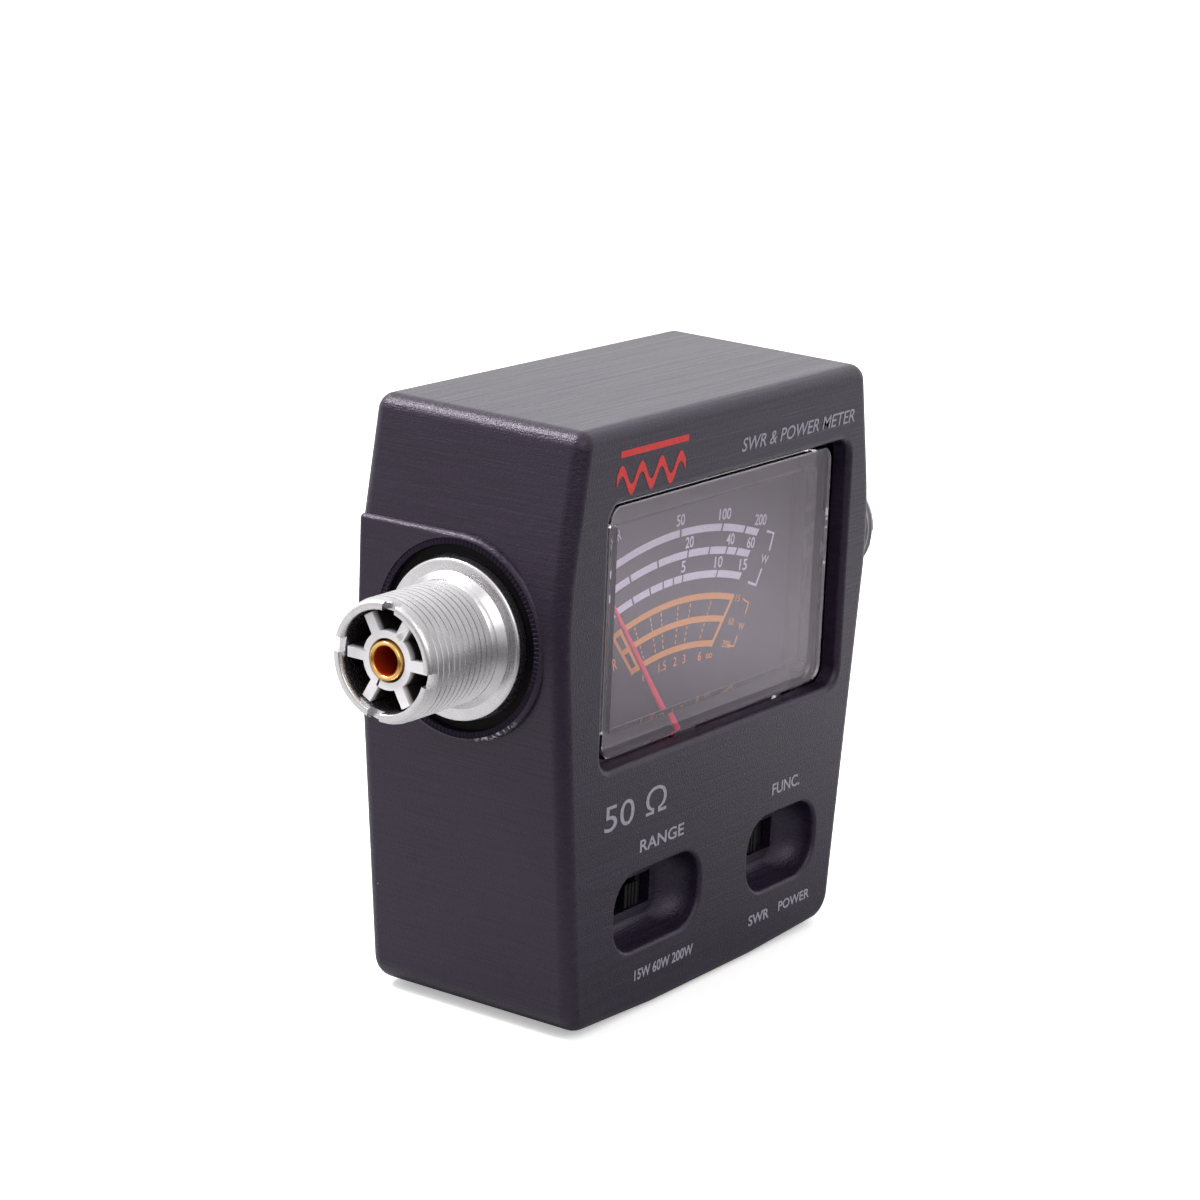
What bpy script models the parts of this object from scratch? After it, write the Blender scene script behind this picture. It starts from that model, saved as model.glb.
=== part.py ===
"""Compact SWR and power meter with one moving-coil needle and a UHF socket on each side.

The front faces -Y, the two sockets lie along X and +Z is up. The origin is on the surface that the case
stands on, below the middle of the whole object. Dimensions are in millimetres here, and each helper turns
them into metres as it makes a mesh.
"""

import math

import bmesh
import bpy
from mathutils import Matrix, Vector

MM = 0.001

# Case: a six-sided outline seen from the front, widest at the sockets. The front of the casting is a
# little smaller than the back, so that it leaves its mould.
CASE_HEIGHT = 80.2
FRONT_SCALE = 0.9925
CASE_FRONT = -16.4
CASE_BACK = 16.4
HALF_WIDTH_TOP = 33.0
HALF_WIDTH_WIDEST = 36.9
HALF_WIDTH_BOTTOM = 31.1
WIDEST_Z = 57.6
WIDEST_ROUND = 55.0
FOOT_HALF_WIDTH = 12.0
FOOT_CORNER_RISE = 0.85
FOOT_CORNER_ROUND = 4.0
TOP_CORNER_ROUND = 2.4
EDGE_ROUND = 2.0
WALL = 2.2
WALL_AT_WIDEST = 3.2
FRONT_WALL = 2.6
FRONT_INSIDE = CASE_FRONT + FRONT_WALL
GAP = 0.3

# Sockets
SOCKET_Y = -0.4
SOCKET_Z = 51.8
SOCKET_TIP = 51.3
THREAD_R = 7.94
SOCKET_BORE_R = 6.5
FLANGE_R = 10.4
FLANGE_THICK = 1.7
BOSS_START = 27.0
BOSS_X = 36.4
BOSS_R = 13.4
BOSS_LOW = 43.0
COUNTERBORE_R = 10.9
COUNTERBORE_DEEP = 1.0
NUT_FLAT_X = 33.2
BARREL_BACK = 30.4
LINE_END = 28.0
INSULATOR_DEEP = 1.2
CONTACT_R = 2.5
CONTACT_BORE_R = 2.0
CONTACT_BACK = 31.6
HUB_R = 3.75
SPOKE_HALF = 0.7
POCKET_DEEP = 10.0
NUT_R = 10.4
WASHER_R = 11.0
WASHER_THICK = 0.4
NOTCHES = 4
NOTCH_TURN = math.radians(8)
FLANGE_NOTCH = (math.radians(-112), math.radians(-45))

# Opening for the meter
WINDOW_X = 1.3
WINDOW_HALF = 28.0
WINDOW_LOW = 35.1
WINDOW_HIGH = 69.7
WINDOW_ROUND = 2.5
WINDOW_Z = (WINDOW_LOW + WINDOW_HIGH) / 2
WINDOW_HALF_HIGH = (WINDOW_HIGH - WINDOW_LOW) / 2

# Finger recesses and their slide switches: middle X, half width, slot half width
SLOT_HALF_HIGH = 2.2
RECESS_WALL = 1.3
RECESS_Z = 14.4
RECESS_HALF_HIGH = 5.3
RECESS_FLOOR = -11.6
RECESS_BACK = -10.3
RECESSES = {"range": (-12.5, 9.7, 4.8), "function": (17.2, 8.4, 4.6)}
KNOB_HALF = 1.5
KNOB_HALF_HIGH = 1.6
KNOB_PROUD = 0.5
RANGE_STEP = 2.0
FUNCTION_TRAVEL = 2.5

# Clear cover: a raised face with a stepped back stands in the opening, on a lid behind the front wall
FACE_X = 0.45
FACE_HALF = 26.25
FACE_LOW = 36.1
FACE_HIGH = 69.4
FACE_FRONT = -15.4
FACE_THICK = 1.5
FACE_RIM = 3.0
FACE_ROUND = 2.4
FACE_BEVEL = 0.7
FACE_BEVEL_DEEP = 0.8
COVER_MIDDLE_Z = 46.6
COVER_HALF = 28.4
COVER_HALF_HIGH = 25.0
COVER_WALL = 1.2
COVER_BACK = -6.4

# Moving-coil movement; the needle turns about an axis along Y. The movement, with its dial and its base,
# is modelled in a frame of its own that lies this far behind the origin.
MOVEMENT_BACK = 0.9
PIVOT_Z = 31.8
NEEDLE_Y = -10.3
NEEDLE_LENGTH = 28.8
REST_ANGLE = math.radians(-37.0)
DIAL_HALF = 26.9
DIAL_FRONT = -8.5
DIAL_THICK = 0.5
DIAL_SIDE_FRONT = -12.3
BASE_FRONT = -7.0
BASE_BACK = -5.6
YOKE_R = 8.9
YOKE_BORE_R = 7.2
CORE_R = 5.2
MOVEMENT_SCREW_X = 11.3
DIAL_SCREW_REACH = 24.9
DIAL_SCREW_Z = 31.6

# Coupler and boards
LINE_R = 2.2
CHANNEL_HALF = 26.5
CHANNEL_FRONT = -4.3
BOARD_FRONT = -4.3
BOARD_BACK = -2.7

# Rear cover, on posts cast into the case
POST_PLACES = [(-25.5, 75.0), (25.5, 75.0), (-25.6, 6.5), (25.6, 6.5)]
POST_R = 2.4
POST_END = 13.3
REAR_COVER_FRONT = 13.6
REAR_COVER_BACK = 15.0
BOARD_SCREW_PLACES = [(-25.6, 14.4), (3.0, 14.4)]
BOARD_POST_R = 2.1

SIDES = (("left", -1), ("right", 1))
TURN_AXES = {
    "+X": Matrix.Rotation(math.pi / 2, 4, "Y"),
    "-X": Matrix.Rotation(-math.pi / 2, 4, "Y"),
    "-Y": Matrix.Rotation(math.pi / 2, 4, "X"),
    "+Y": Matrix.Rotation(-math.pi / 2, 4, "X"),
}
PRISM_AXES = {
    "X": Matrix(((0, 0, 1, 0), (1, 0, 0, 0), (0, 1, 0, 0), (0, 0, 0, 1))),
    "Y": Matrix.Rotation(math.pi / 2, 4, "X"),
    "Z": Matrix.Identity(4),
}


def clear_scene():
    for obj in list(bpy.data.objects):
        bpy.data.objects.remove(obj, do_unlink=True)


def new_collection(name):
    found = bpy.data.collections.new(name)
    bpy.context.scene.collection.children.link(found)
    return found


clear_scene()
PARTS = new_collection("swr_power_meter")
TOOLS = new_collection("cutters")


def make_material(name, color, metallic, roughness, alpha=1.0):
    made = bpy.data.materials.new(name)
    made.use_nodes = True
    shader = made.node_tree.nodes["Principled BSDF"]
    shader.inputs["Base Color"].default_value = (*color, 1.0)
    shader.inputs["Metallic"].default_value = metallic
    shader.inputs["Roughness"].default_value = roughness
    shader.inputs["Alpha"].default_value = alpha
    made.diffuse_color = (*color, alpha)
    return made


CASE_PAINT = make_material("case_paint", (0.055, 0.047, 0.06), 0.2, 0.45)
PLATED = make_material("nickel_plate", (0.72, 0.71, 0.72), 1.0, 0.25)
GOLD = make_material("gold_plate", (0.85, 0.55, 0.2), 1.0, 0.25)
BRASS = make_material("brass", (0.7, 0.5, 0.22), 1.0, 0.35)
STEEL = make_material("steel", (0.5, 0.5, 0.5), 1.0, 0.35)
ALUMINIUM = make_material("aluminium", (0.75, 0.75, 0.76), 1.0, 0.4)
PALE_PLASTIC = make_material("pale_plastic", (0.75, 0.72, 0.76), 0.0, 0.5)
CLEAR = make_material("clear_plastic", (0.9, 0.9, 0.9), 0.0, 0.05, 0.3)
DIAL_PAINT = make_material("dial_paint", (0.24, 0.2, 0.25), 0.0, 0.6)
BLACK_PLASTIC = make_material("black_plastic", (0.02, 0.02, 0.02), 0.0, 0.5)
RED_PAINT = make_material("needle_red", (0.8, 0.03, 0.05), 0.0, 0.4)
MAGNET = make_material("magnet", (0.2, 0.2, 0.2), 1.0, 0.45)
COPPER = make_material("copper_wire", (0.7, 0.3, 0.15), 1.0, 0.4)
RUBY = make_material("jewel", (0.6, 0.02, 0.1), 0.0, 0.1)
BOARD = make_material("board", (0.1, 0.3, 0.12), 0.0, 0.5)
CERAMIC = make_material("ceramic", (0.55, 0.45, 0.35), 0.0, 0.4)
WIRE_SKIN = make_material("wire_insulation", (0.5, 0.1, 0.1), 0.0, 0.5)


def place(name, mesh, material, matrix=None):
    """Links a mesh as a part, or as a tool when it has no material."""
    obj = bpy.data.objects.new(name, mesh)
    if matrix is not None:
        obj.matrix_world = matrix
    if material is None:
        obj.hide_render = True
        obj.display_type = "WIRE"
        TOOLS.objects.link(obj)
    else:
        mesh.materials.append(material)
        PARTS.objects.link(obj)
    return obj


def at(x, y, z):
    return Matrix.Translation((x * MM, y * MM, z * MM))


def box(name, low, high, material=None):
    mesh = bpy.data.meshes.new(name)
    shape = bmesh.new()
    bmesh.ops.create_cube(shape, size=1.0)
    size = [(b - a) * MM for a, b in zip(low, high)]
    middle = [(a + b) / 2 for a, b in zip(low, high)]
    bmesh.ops.scale(shape, vec=size, verts=shape.verts)
    shape.to_mesh(mesh)
    shape.free()
    return place(name, mesh, material, at(*middle))


def cylinder(name, axis, origin, radius, start, end, material=None, sides=24):
    """A round bar about an axis such as '+X' through origin, from start to end along it."""
    mesh = bpy.data.meshes.new(name)
    shape = bmesh.new()
    round_size = {"radius1": radius * MM, "radius2": radius * MM, "depth": (end - start) * MM}
    bmesh.ops.create_cone(shape, cap_ends=True, segments=sides, **round_size)
    bmesh.ops.translate(shape, vec=(0, 0, (start + end) / 2 * MM), verts=shape.verts)
    shape.to_mesh(mesh)
    shape.free()
    obj = place(name, mesh, material, at(*origin) @ TURN_AXES[axis])
    smooth(obj)
    return obj


def turned(name, axis, origin, profile, material=None, steps=24, closed=False):
    """A profile of (radius, height) points turned about an axis; it runs down its outer side."""
    mesh = bpy.data.meshes.new(name)
    points = [(radius * MM, 0.0, height * MM) for radius, height in profile]
    edges = [(i, i + 1) for i in range(len(points) - 1)]
    if closed:
        edges.append((len(points) - 1, 0))
    mesh.from_pydata(points, edges, [])
    obj = place(name, mesh, material, at(*origin) @ TURN_AXES[axis])
    screw = obj.modifiers.new("turn", "SCREW")
    screw.axis = "Z"
    screw.steps = steps
    screw.render_steps = steps
    screw.use_merge_vertices = True
    screw.merge_threshold = 0.00001
    screw.use_smooth_shade = True
    return obj


def ring(name, axis, origin, outer, inner, low, high, material=None, steps=24):
    profile = [(outer, high), (outer, low), (inner, low), (inner, high)]
    return turned(name, axis, origin, profile, material, steps, closed=True)


def smooth(obj):
    obj.data.shade_smooth()
    obj.data.set_sharp_from_angle(angle=math.radians(35))


def prism(name, outline, low, high, axis, material=None):
    """A closed outline, in the two other axes, filled and extruded along one axis."""
    curve = bpy.data.curves.new(name, "CURVE")
    curve.dimensions = "2D"
    curve.fill_mode = "BOTH"
    curve.extrude = (high - low) / 2 * MM
    spline = curve.splines.new("POLY")
    spline.points.add(len(outline) - 1)
    for point, (u, v) in zip(spline.points, outline):
        point.co = (u * MM, v * MM, 0.0, 1.0)
    spline.use_cyclic_u = True
    mesh = mesh_of_curve(curve)
    middle = [0, 0, 0]
    middle["XYZ".index(axis)] = (low + high) / 2
    return place(name, mesh, material, at(*middle) @ PRISM_AXES[axis])


def mesh_of_curve(curve):
    """The curve's mesh with its caps welded on and its flat faces whole."""
    holder = bpy.data.objects.new("holder", curve)
    bpy.context.scene.collection.objects.link(holder)
    bpy.context.view_layer.update()
    graph = bpy.context.evaluated_depsgraph_get()
    mesh = bpy.data.meshes.new_from_object(holder.evaluated_get(graph))
    bpy.data.objects.remove(holder)
    shape = bmesh.new()
    shape.from_mesh(mesh)
    bmesh.ops.remove_doubles(shape, verts=shape.verts, dist=0.000001)
    bmesh.ops.dissolve_limit(shape, angle_limit=math.radians(0.5), verts=shape.verts, edges=shape.edges)
    bmesh.ops.recalc_face_normals(shape, faces=shape.faces)
    shape.to_mesh(mesh)
    shape.free()
    mesh.materials.clear()
    return mesh


def loft(name, sections, material=None):
    """Joins outlines of equal count, each with its own Y: [(y, outline), ...] from front to back."""
    mesh = bpy.data.meshes.new(name)
    shape = bmesh.new()
    loops = [[shape.verts.new((x * MM, y * MM, z * MM)) for x, z in outline] for y, outline in sections]
    count = len(loops[0])
    for near, far in zip(loops, loops[1:]):
        for i in range(count):
            j = (i + 1) % count
            shape.faces.new((near[i], near[j], far[j], far[i]))
    shape.faces.new(loops[0])
    shape.faces.new(loops[-1])
    bmesh.ops.recalc_face_normals(shape, faces=shape.faces)
    shape.to_mesh(mesh)
    shape.free()
    return place(name, mesh, material)


def wire(name, points, radius, material):
    """A round wire along a smooth curve through its route's points."""
    curve = bpy.data.curves.new(name, "CURVE")
    curve.dimensions = "3D"
    curve.bevel_depth = radius * MM
    curve.bevel_resolution = 1
    curve.use_fill_caps = True
    path = smooth_path(points, 4)
    spline = curve.splines.new("POLY")
    spline.points.add(len(path) - 1)
    for point, where in zip(spline.points, path):
        point.co = (*[value * MM for value in where], 1.0)
    mesh = mesh_of_curve(curve)
    return place(name, mesh, material)


def smooth_path(points, parts):
    """Catmull-Rom points through the route, with the ends repeated."""
    padded = [points[0], *points, points[-1]]
    path = []
    for a, b, c, d in zip(padded, padded[1:], padded[2:], padded[3:]):
        for step in range(parts):
            t = step / parts
            path.append([
                b[k] + 0.5 * t * (c[k] - a[k] + t * (2 * a[k] - 5 * b[k] + 4 * c[k] - d[k]
                + t * (3 * (b[k] - c[k]) + d[k] - a[k])))
                for k in range(3)
            ])
    path.append(list(points[-1]))
    return path


def cut(target, tool, operation="DIFFERENCE"):
    change = target.modifiers.new(tool.name, "BOOLEAN")
    change.operation = operation
    change.object = tool
    change.solver = "EXACT"
    return target


def join(target, tool):
    return cut(target, tool, "UNION")


def round_edges(obj, width, segments, angle=60):
    change = obj.modifiers.new("round", "BEVEL")
    change.width = width * MM
    change.segments = segments
    change.limit_method = "ANGLE"
    change.angle_limit = math.radians(angle)
    return obj


def rounded_outline(corners, steps=4):
    """Replaces each corner (x, z, radius) by an arc that is tangent to both of its sides."""
    outline = []
    for index, (x, z, radius) in enumerate(corners):
        corner = Vector((x, z))
        before = (Vector(corners[index - 1][:2]) - corner).normalized()
        after = (Vector(corners[(index + 1) % len(corners)][:2]) - corner).normalized()
        half = before.angle(after) / 2
        middle = corner + (before + after).normalized() * radius / math.sin(half)
        first = corner + before * radius / math.tan(half) - middle
        last = corner + after * radius / math.tan(half) - middle
        start = math.atan2(first.y, first.x)
        sweep = math.remainder(math.atan2(last.y, last.x) - start, 2 * math.pi)
        for step in range(steps + 1):
            angle = start + sweep * step / steps
            outline.append((middle.x + radius * math.cos(angle), middle.y + radius * math.sin(angle)))
    return outline


def rounded_rectangle(middle_x, middle_z, half_x, half_z, radius, steps=4):
    return rounded_outline(
        [
            (middle_x - half_x, middle_z - half_z, radius),
            (middle_x + half_x, middle_z - half_z, radius),
            (middle_x + half_x, middle_z + half_z, radius),
            (middle_x - half_x, middle_z + half_z, radius),
        ],
        steps,
    )


def case_outline(inset, widest_inset, steps=4):
    """The front view of the case, or of its inside when it is inset."""
    low = inset
    rise = FOOT_CORNER_RISE + inset
    bottom = HALF_WIDTH_BOTTOM - inset
    widest = HALF_WIDTH_WIDEST - widest_inset
    top = HALF_WIDTH_TOP - inset
    half = [
        (FOOT_HALF_WIDTH, low, 40.0),
        (bottom, rise, FOOT_CORNER_ROUND - inset / 2),
        (widest, WIDEST_Z, WIDEST_ROUND),
        (top, CASE_HEIGHT - inset, TOP_CORNER_ROUND - inset / 2),
    ]
    mirrored = [(-x, z, radius) for x, z, radius in reversed(half)]
    return rounded_outline(half + mirrored, steps)


def recess_sections(middle_x, half_x):
    """Outlines of a finger recess: a rim rounded into the face, a bowl, and a flat floor."""
    floor_in = 4.0
    floor_up = 1.9
    rim = rounded_rectangle(middle_x, RECESS_Z, half_x + 0.6, RECESS_HALF_HIGH + 0.6, 4.9)
    sections = [(CASE_FRONT - 0.5, rim)]
    for share in (0.0, 0.35, 0.7, 0.9, 1.0):
        bow = 1 - math.sqrt(1 - share * share)
        y = CASE_FRONT + share * (RECESS_FLOOR - CASE_FRONT)
        wide = half_x - floor_in * bow
        high = RECESS_HALF_HIGH - floor_up * bow
        sections.append((y, rounded_rectangle(middle_x, RECESS_Z, wide, high, 4.3 - 1.9 * bow)))
    return sections


def make_front_housing():
    back = case_outline(0.0, 0.0)
    front = [(x * FRONT_SCALE, z * FRONT_SCALE) for x, z in back]
    case = loft("front_housing", [(CASE_FRONT, front), (CASE_BACK, back)], CASE_PAINT)
    smooth(case)
    round_edges(case, EDGE_ROUND, 3)
    join_bosses(case)
    cut(case, prism("cavity", case_outline(WALL, WALL_AT_WIDEST), FRONT_INSIDE, CASE_BACK + 1.0, "Y"))
    join_inner_shapes(case)
    cut_front_face(case)
    cut_socket_holes(case)
    for index, (x, z) in enumerate(POST_PLACES, 1):
        cut(case, cylinder(f"cover_post_hole_{index}", "+Y", (x, 0, z), 1.35, 6.0, 15.0, sides=12))
    for index, (x, z) in enumerate(BOARD_SCREW_PLACES, 1):
        cut(case, cylinder(f"board_post_hole_{index}", "+Y", (x, 0, z), 1.15, -9.2, -4.0, sides=12))
    return case


def join_bosses(case):
    for side, shift in (("left", -(BOSS_START + BOSS_X)), ("right", 0.0)):
        boss = prism("boss_" + side, boss_outline(), BOSS_START, BOSS_X, "X")
        boss.matrix_world = at(shift, 0, 0) @ boss.matrix_world
        round_edges(boss, 1.0, 2)
        join(case, boss)


def join_inner_shapes(case):
    """Blocks around the finger recesses, and the posts for the rear cover and the board."""
    start = FRONT_INSIDE - 0.6
    for name, (middle_x, half_x, _) in RECESSES.items():
        half_z = RECESS_HALF_HIGH + RECESS_WALL
        outline = rounded_rectangle(middle_x, RECESS_Z, half_x + RECESS_WALL, half_z, 5.0)
        join(case, prism(name + "_recess_block", outline, start, RECESS_BACK, "Y"))
    for index, (x, z) in enumerate(POST_PLACES, 1):
        join(case, cylinder(f"cover_post_{index}", "+Y", (x, 0, z), POST_R, start, POST_END, sides=16))
    for index, (x, z) in enumerate(BOARD_SCREW_PLACES, 1):
        join(case, cylinder(f"board_post_{index}", "+Y", (x, 0, z), BOARD_POST_R, start, -4.6, sides=16))


def boss_outline(steps=20):
    """Side view of a socket boss: round about the socket, and running back to the rear edge."""
    start = math.pi / 2
    stop = 2 * math.pi + math.asin((BOSS_LOW - SOCKET_Z) / BOSS_R)
    outline = [(CASE_BACK - 0.6, BOSS_LOW), (CASE_BACK - 0.6, SOCKET_Z + BOSS_R)]
    for step in range(steps + 1):
        angle = start + (stop - start) * step / steps
        outline.append((SOCKET_Y + BOSS_R * math.cos(angle), SOCKET_Z + BOSS_R * math.sin(angle)))
    return outline


def cut_front_face(case):
    """The meter opening, with its front edge eased, and the two finger recesses with their slots."""
    eased = 0.6
    steps = [(CASE_FRONT - 1.0, -1.1), (CASE_FRONT, -eased), (CASE_FRONT + eased, 0.0)]
    steps.append((FRONT_INSIDE + 1.0, 0.0))
    cut(case, loft("window_cut", [(y, window_outline(less)) for y, less in steps]))
    for name, (middle_x, half_x, slot_half) in RECESSES.items():
        cut(case, loft(name + "_recess_cut", recess_sections(middle_x, half_x)))
        low = (middle_x - slot_half, RECESS_FLOOR - 1.0, RECESS_Z - SLOT_HALF_HIGH)
        high = (middle_x + slot_half, RECESS_BACK + 1.0, RECESS_Z + SLOT_HALF_HIGH)
        cut(case, box(name + "_slot_cut", low, high))


def window_outline(less):
    """The meter opening, made smaller all round by this much."""
    half_x, half_z = WINDOW_HALF - less, WINDOW_HALF_HIGH - less
    return rounded_rectangle(WINDOW_X, WINDOW_Z, half_x, half_z, WINDOW_ROUND - less)


def cut_socket_holes(case):
    """Counterbore, barrel hole and an inner flat for the nut, along each socket's axis."""
    origin = (0, SOCKET_Y, SOCKET_Z)
    holes = (
        ("_counterbore", COUNTERBORE_R, BOSS_X - COUNTERBORE_DEEP, SOCKET_TIP),
        ("_barrel_hole", THREAD_R + GAP, 28.0, SOCKET_TIP + 1),
        ("_nut_flat", 12.0, 26.0, NUT_FLAT_X),
    )
    for side, axis in (("left", "-X"), ("right", "+X")):
        for name, radius, start, end in holes:
            cut(case, cylinder(side + name, axis, origin, radius, start, end, sides=32))


def make_rear_cover():
    """Flat plate inside the case's rim, on four posts, held by pan-head screws with crossed slots."""
    outline = case_outline(WALL + GAP, WALL_AT_WIDEST + GAP)
    cover = prism("rear_cover", outline, REAR_COVER_FRONT, REAR_COVER_BACK, "Y", CASE_PAINT)
    for index, (x, z) in enumerate(POST_PLACES, 1):
        cut(cover, cylinder(f"cover_hole_{index}", "+Y", (x, 0, z), 1.4, 13.0, 17.0, sides=16))
    under = REAR_COVER_BACK + GAP
    head = [(0, under + 0.9), (1.5, under + 0.8), (2.2, under + 0.4), (2.3, under)]
    shank = [(1.0, under), (1.0, 8.0), (0, 7.5)]
    for index, (x, z) in enumerate(POST_PLACES, 1):
        screw = turned(f"rear_cover_screw_{index}", "+Y", (x, 0, z), head + shank, STEEL, 12)
        for turn, (half_x, half_z) in enumerate(((1.3, 0.25), (0.25, 1.3))):
            low = (x - half_x, under + 0.4, z - half_z)
            cut(screw, box(f"cross_{index}_{turn}", low, (x + half_x, under + 2, z + half_z)))


def make_socket(side, axis):
    """One UHF socket: barrel and flange in one, spoked insulator, contact, washer and nut."""
    origin = (0, SOCKET_Y, SOCKET_Z)
    sign = 1 if axis == "+X" else -1
    make_barrel(side, axis, origin, sign)
    make_insulator(side, axis, origin, sign)
    profile = [
        (CONTACT_R - 0.3, SOCKET_TIP - 0.8),
        (CONTACT_R, SOCKET_TIP - 1.1),
        (CONTACT_R, CONTACT_BACK),
        (1.4, CONTACT_BACK - 0.4),
        (1.4, LINE_END + GAP),
        (0.0, LINE_END + GAP),
        (0.0, 38.0),
        (CONTACT_BORE_R, 38.6),
        (CONTACT_BORE_R, SOCKET_TIP - 1.0),
        (CONTACT_BORE_R + 0.2, SOCKET_TIP - 0.8),
    ]
    turned(side + "_contact", axis, origin, profile, GOLD, 24, closed=True)
    high = NUT_FLAT_X - GAP
    low = high - WASHER_THICK
    washer = ring(side + "_ground_washer", axis, origin, WASHER_R, THREAD_R + GAP, low, high, STEEL)
    lug_x = sorted((sign * low, sign * high))
    join(washer, box(side + "_lug", (lug_x[0], 9.6, SOCKET_Z - 1.6), (lug_x[1], 11.0, SOCKET_Z + 1.6)))
    start, end = BARREL_BACK + 0.2, low - GAP
    nut = cylinder(side + "_connector_nut", axis, origin, NUT_R, start, end, PLATED, sides=6)
    cut(nut, cylinder(side + "_nut_bore", axis, origin, THREAD_R + GAP, 27.0, 34.0, sides=24))


def make_barrel(side, axis, origin, sign):
    """Barrel and flange in one piece: four locating notches in its rim, one wide notch in the flange."""
    flange_back = BOSS_X - COUNTERBORE_DEEP + GAP
    flange_face = flange_back + FLANGE_THICK
    profile = [
        (THREAD_R - 0.5, SOCKET_TIP),
        (THREAD_R, SOCKET_TIP - 0.6),
        (THREAD_R, flange_face),
        (FLANGE_R - 0.3, flange_face),
        (FLANGE_R, flange_face - 0.4),
        (FLANGE_R, flange_back),
        (THREAD_R, flange_back),
        (THREAD_R, BARREL_BACK),
        (SOCKET_BORE_R, BARREL_BACK),
        (SOCKET_BORE_R, SOCKET_TIP),
    ]
    barrel = turned(side + "_connector_body", axis, origin, profile, PLATED, 32, closed=True)
    ends = sorted((sign * (SOCKET_TIP - 1.1), sign * (SOCKET_TIP + 1)))
    for index in range(NOTCHES):
        notch = box(f"{side}_notch_{index}", (ends[0], 5.0, -0.95), (ends[1], 9.5, 0.95))
        spin = Matrix.Rotation(index * 2 * math.pi / NOTCHES + NOTCH_TURN, 4, "X")
        notch.matrix_world = at(*origin) @ spin @ notch.matrix_world
        cut(barrel, notch)
    ends = sorted((sign * (flange_back - 1.0), sign * (flange_face + 0.1)))
    sector = sector_outline(FLANGE_NOTCH, THREAD_R + 0.4, FLANGE_R + 1)
    notch = prism(side + "_flange_notch", sector, *ends, "X")
    notch.matrix_world = at(*origin) @ notch.matrix_world
    cut(barrel, notch)


def sector_outline(span, inner, outer, steps=6):
    """Part of a flat ring between two angles."""
    outline = []
    for radius, order in ((inner, range(steps + 1)), (outer, range(steps, -1, -1))):
        for step in order:
            angle = span[0] + (span[1] - span[0]) * step / steps
            outline.append((radius * math.cos(angle), radius * math.sin(angle)))
    return outline


def make_insulator(side, axis, origin, sign):
    """A plastic core whose front is a hub with six spokes and deep pockets between them."""
    face = SOCKET_TIP - INSULATOR_DEEP
    outer = SOCKET_BORE_R - GAP
    inner = CONTACT_R + GAP
    core = ring(side + "_insulator", axis, origin, outer, inner, CONTACT_BACK, face, PALE_PLASTIC, 36)
    span = sorted((sign * (face - POCKET_DEEP), sign * (face + 1.0)))
    for index in range(6):
        outline = pocket_outline(math.radians(30 + 60 * index), outer + 1)
        pocket = prism(f"{side}_pocket_{index}", outline, *span, "X")
        pocket.matrix_world = at(*origin) @ pocket.matrix_world
        cut(core, pocket)


def pocket_outline(middle, reach, steps=4):
    """The room between two spokes: it leaves half a spoke's width along each, and the hub's radius."""
    outline = []
    for radius, order in ((HUB_R, range(steps + 1)), (reach, range(steps, -1, -1))):
        half = math.radians(30) - math.asin(SPOKE_HALF / radius)
        for step in order:
            angle = middle - half + 2 * half * step / steps
            outline.append((radius * math.cos(angle), radius * math.sin(angle)))
    return outline


def face_outline(less, steps=4):
    """The raised face of the clear cover, made smaller all round by this much."""
    middle_z, half_z = (FACE_HIGH + FACE_LOW) / 2, (FACE_HIGH - FACE_LOW) / 2 - less
    corner = max(FACE_ROUND - less, 0.5)
    return rounded_rectangle(FACE_X, middle_z, FACE_HALF - less, half_z, corner, steps)


def make_meter_cover():
    """Clear lid: a plate behind the front wall, a raised face in the opening and a skirt."""
    front = FRONT_INSIDE + GAP
    inside = front + COVER_WALL
    less = COVER_WALL
    outer = rounded_rectangle(WINDOW_X, COVER_MIDDLE_Z, COVER_HALF, COVER_HALF_HIGH, 2.0, 3)
    inner = rounded_rectangle(WINDOW_X, COVER_MIDDLE_Z, COVER_HALF - less, COVER_HALF_HIGH - less, 1.2, 3)
    cover = prism("meter_cover", outer, front, COVER_BACK, "Y", CLEAR)
    cut(cover, prism("cover_hollow", inner, inside, COVER_BACK + 1.0, "Y"))
    steps = [(FACE_FRONT, FACE_BEVEL), (FACE_FRONT + FACE_BEVEL_DEEP / 3, FACE_BEVEL / 3)]
    steps += [(FACE_FRONT + FACE_BEVEL_DEEP, 0.0), (front + 0.5, 0.0)]
    join(cover, loft("cover_face", [(y, face_outline(less)) for y, less in steps]))
    cut(cover, prism("face_hollow", face_outline(FACE_RIM), FACE_FRONT + FACE_THICK, inside + 0.5, "Y"))


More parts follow.
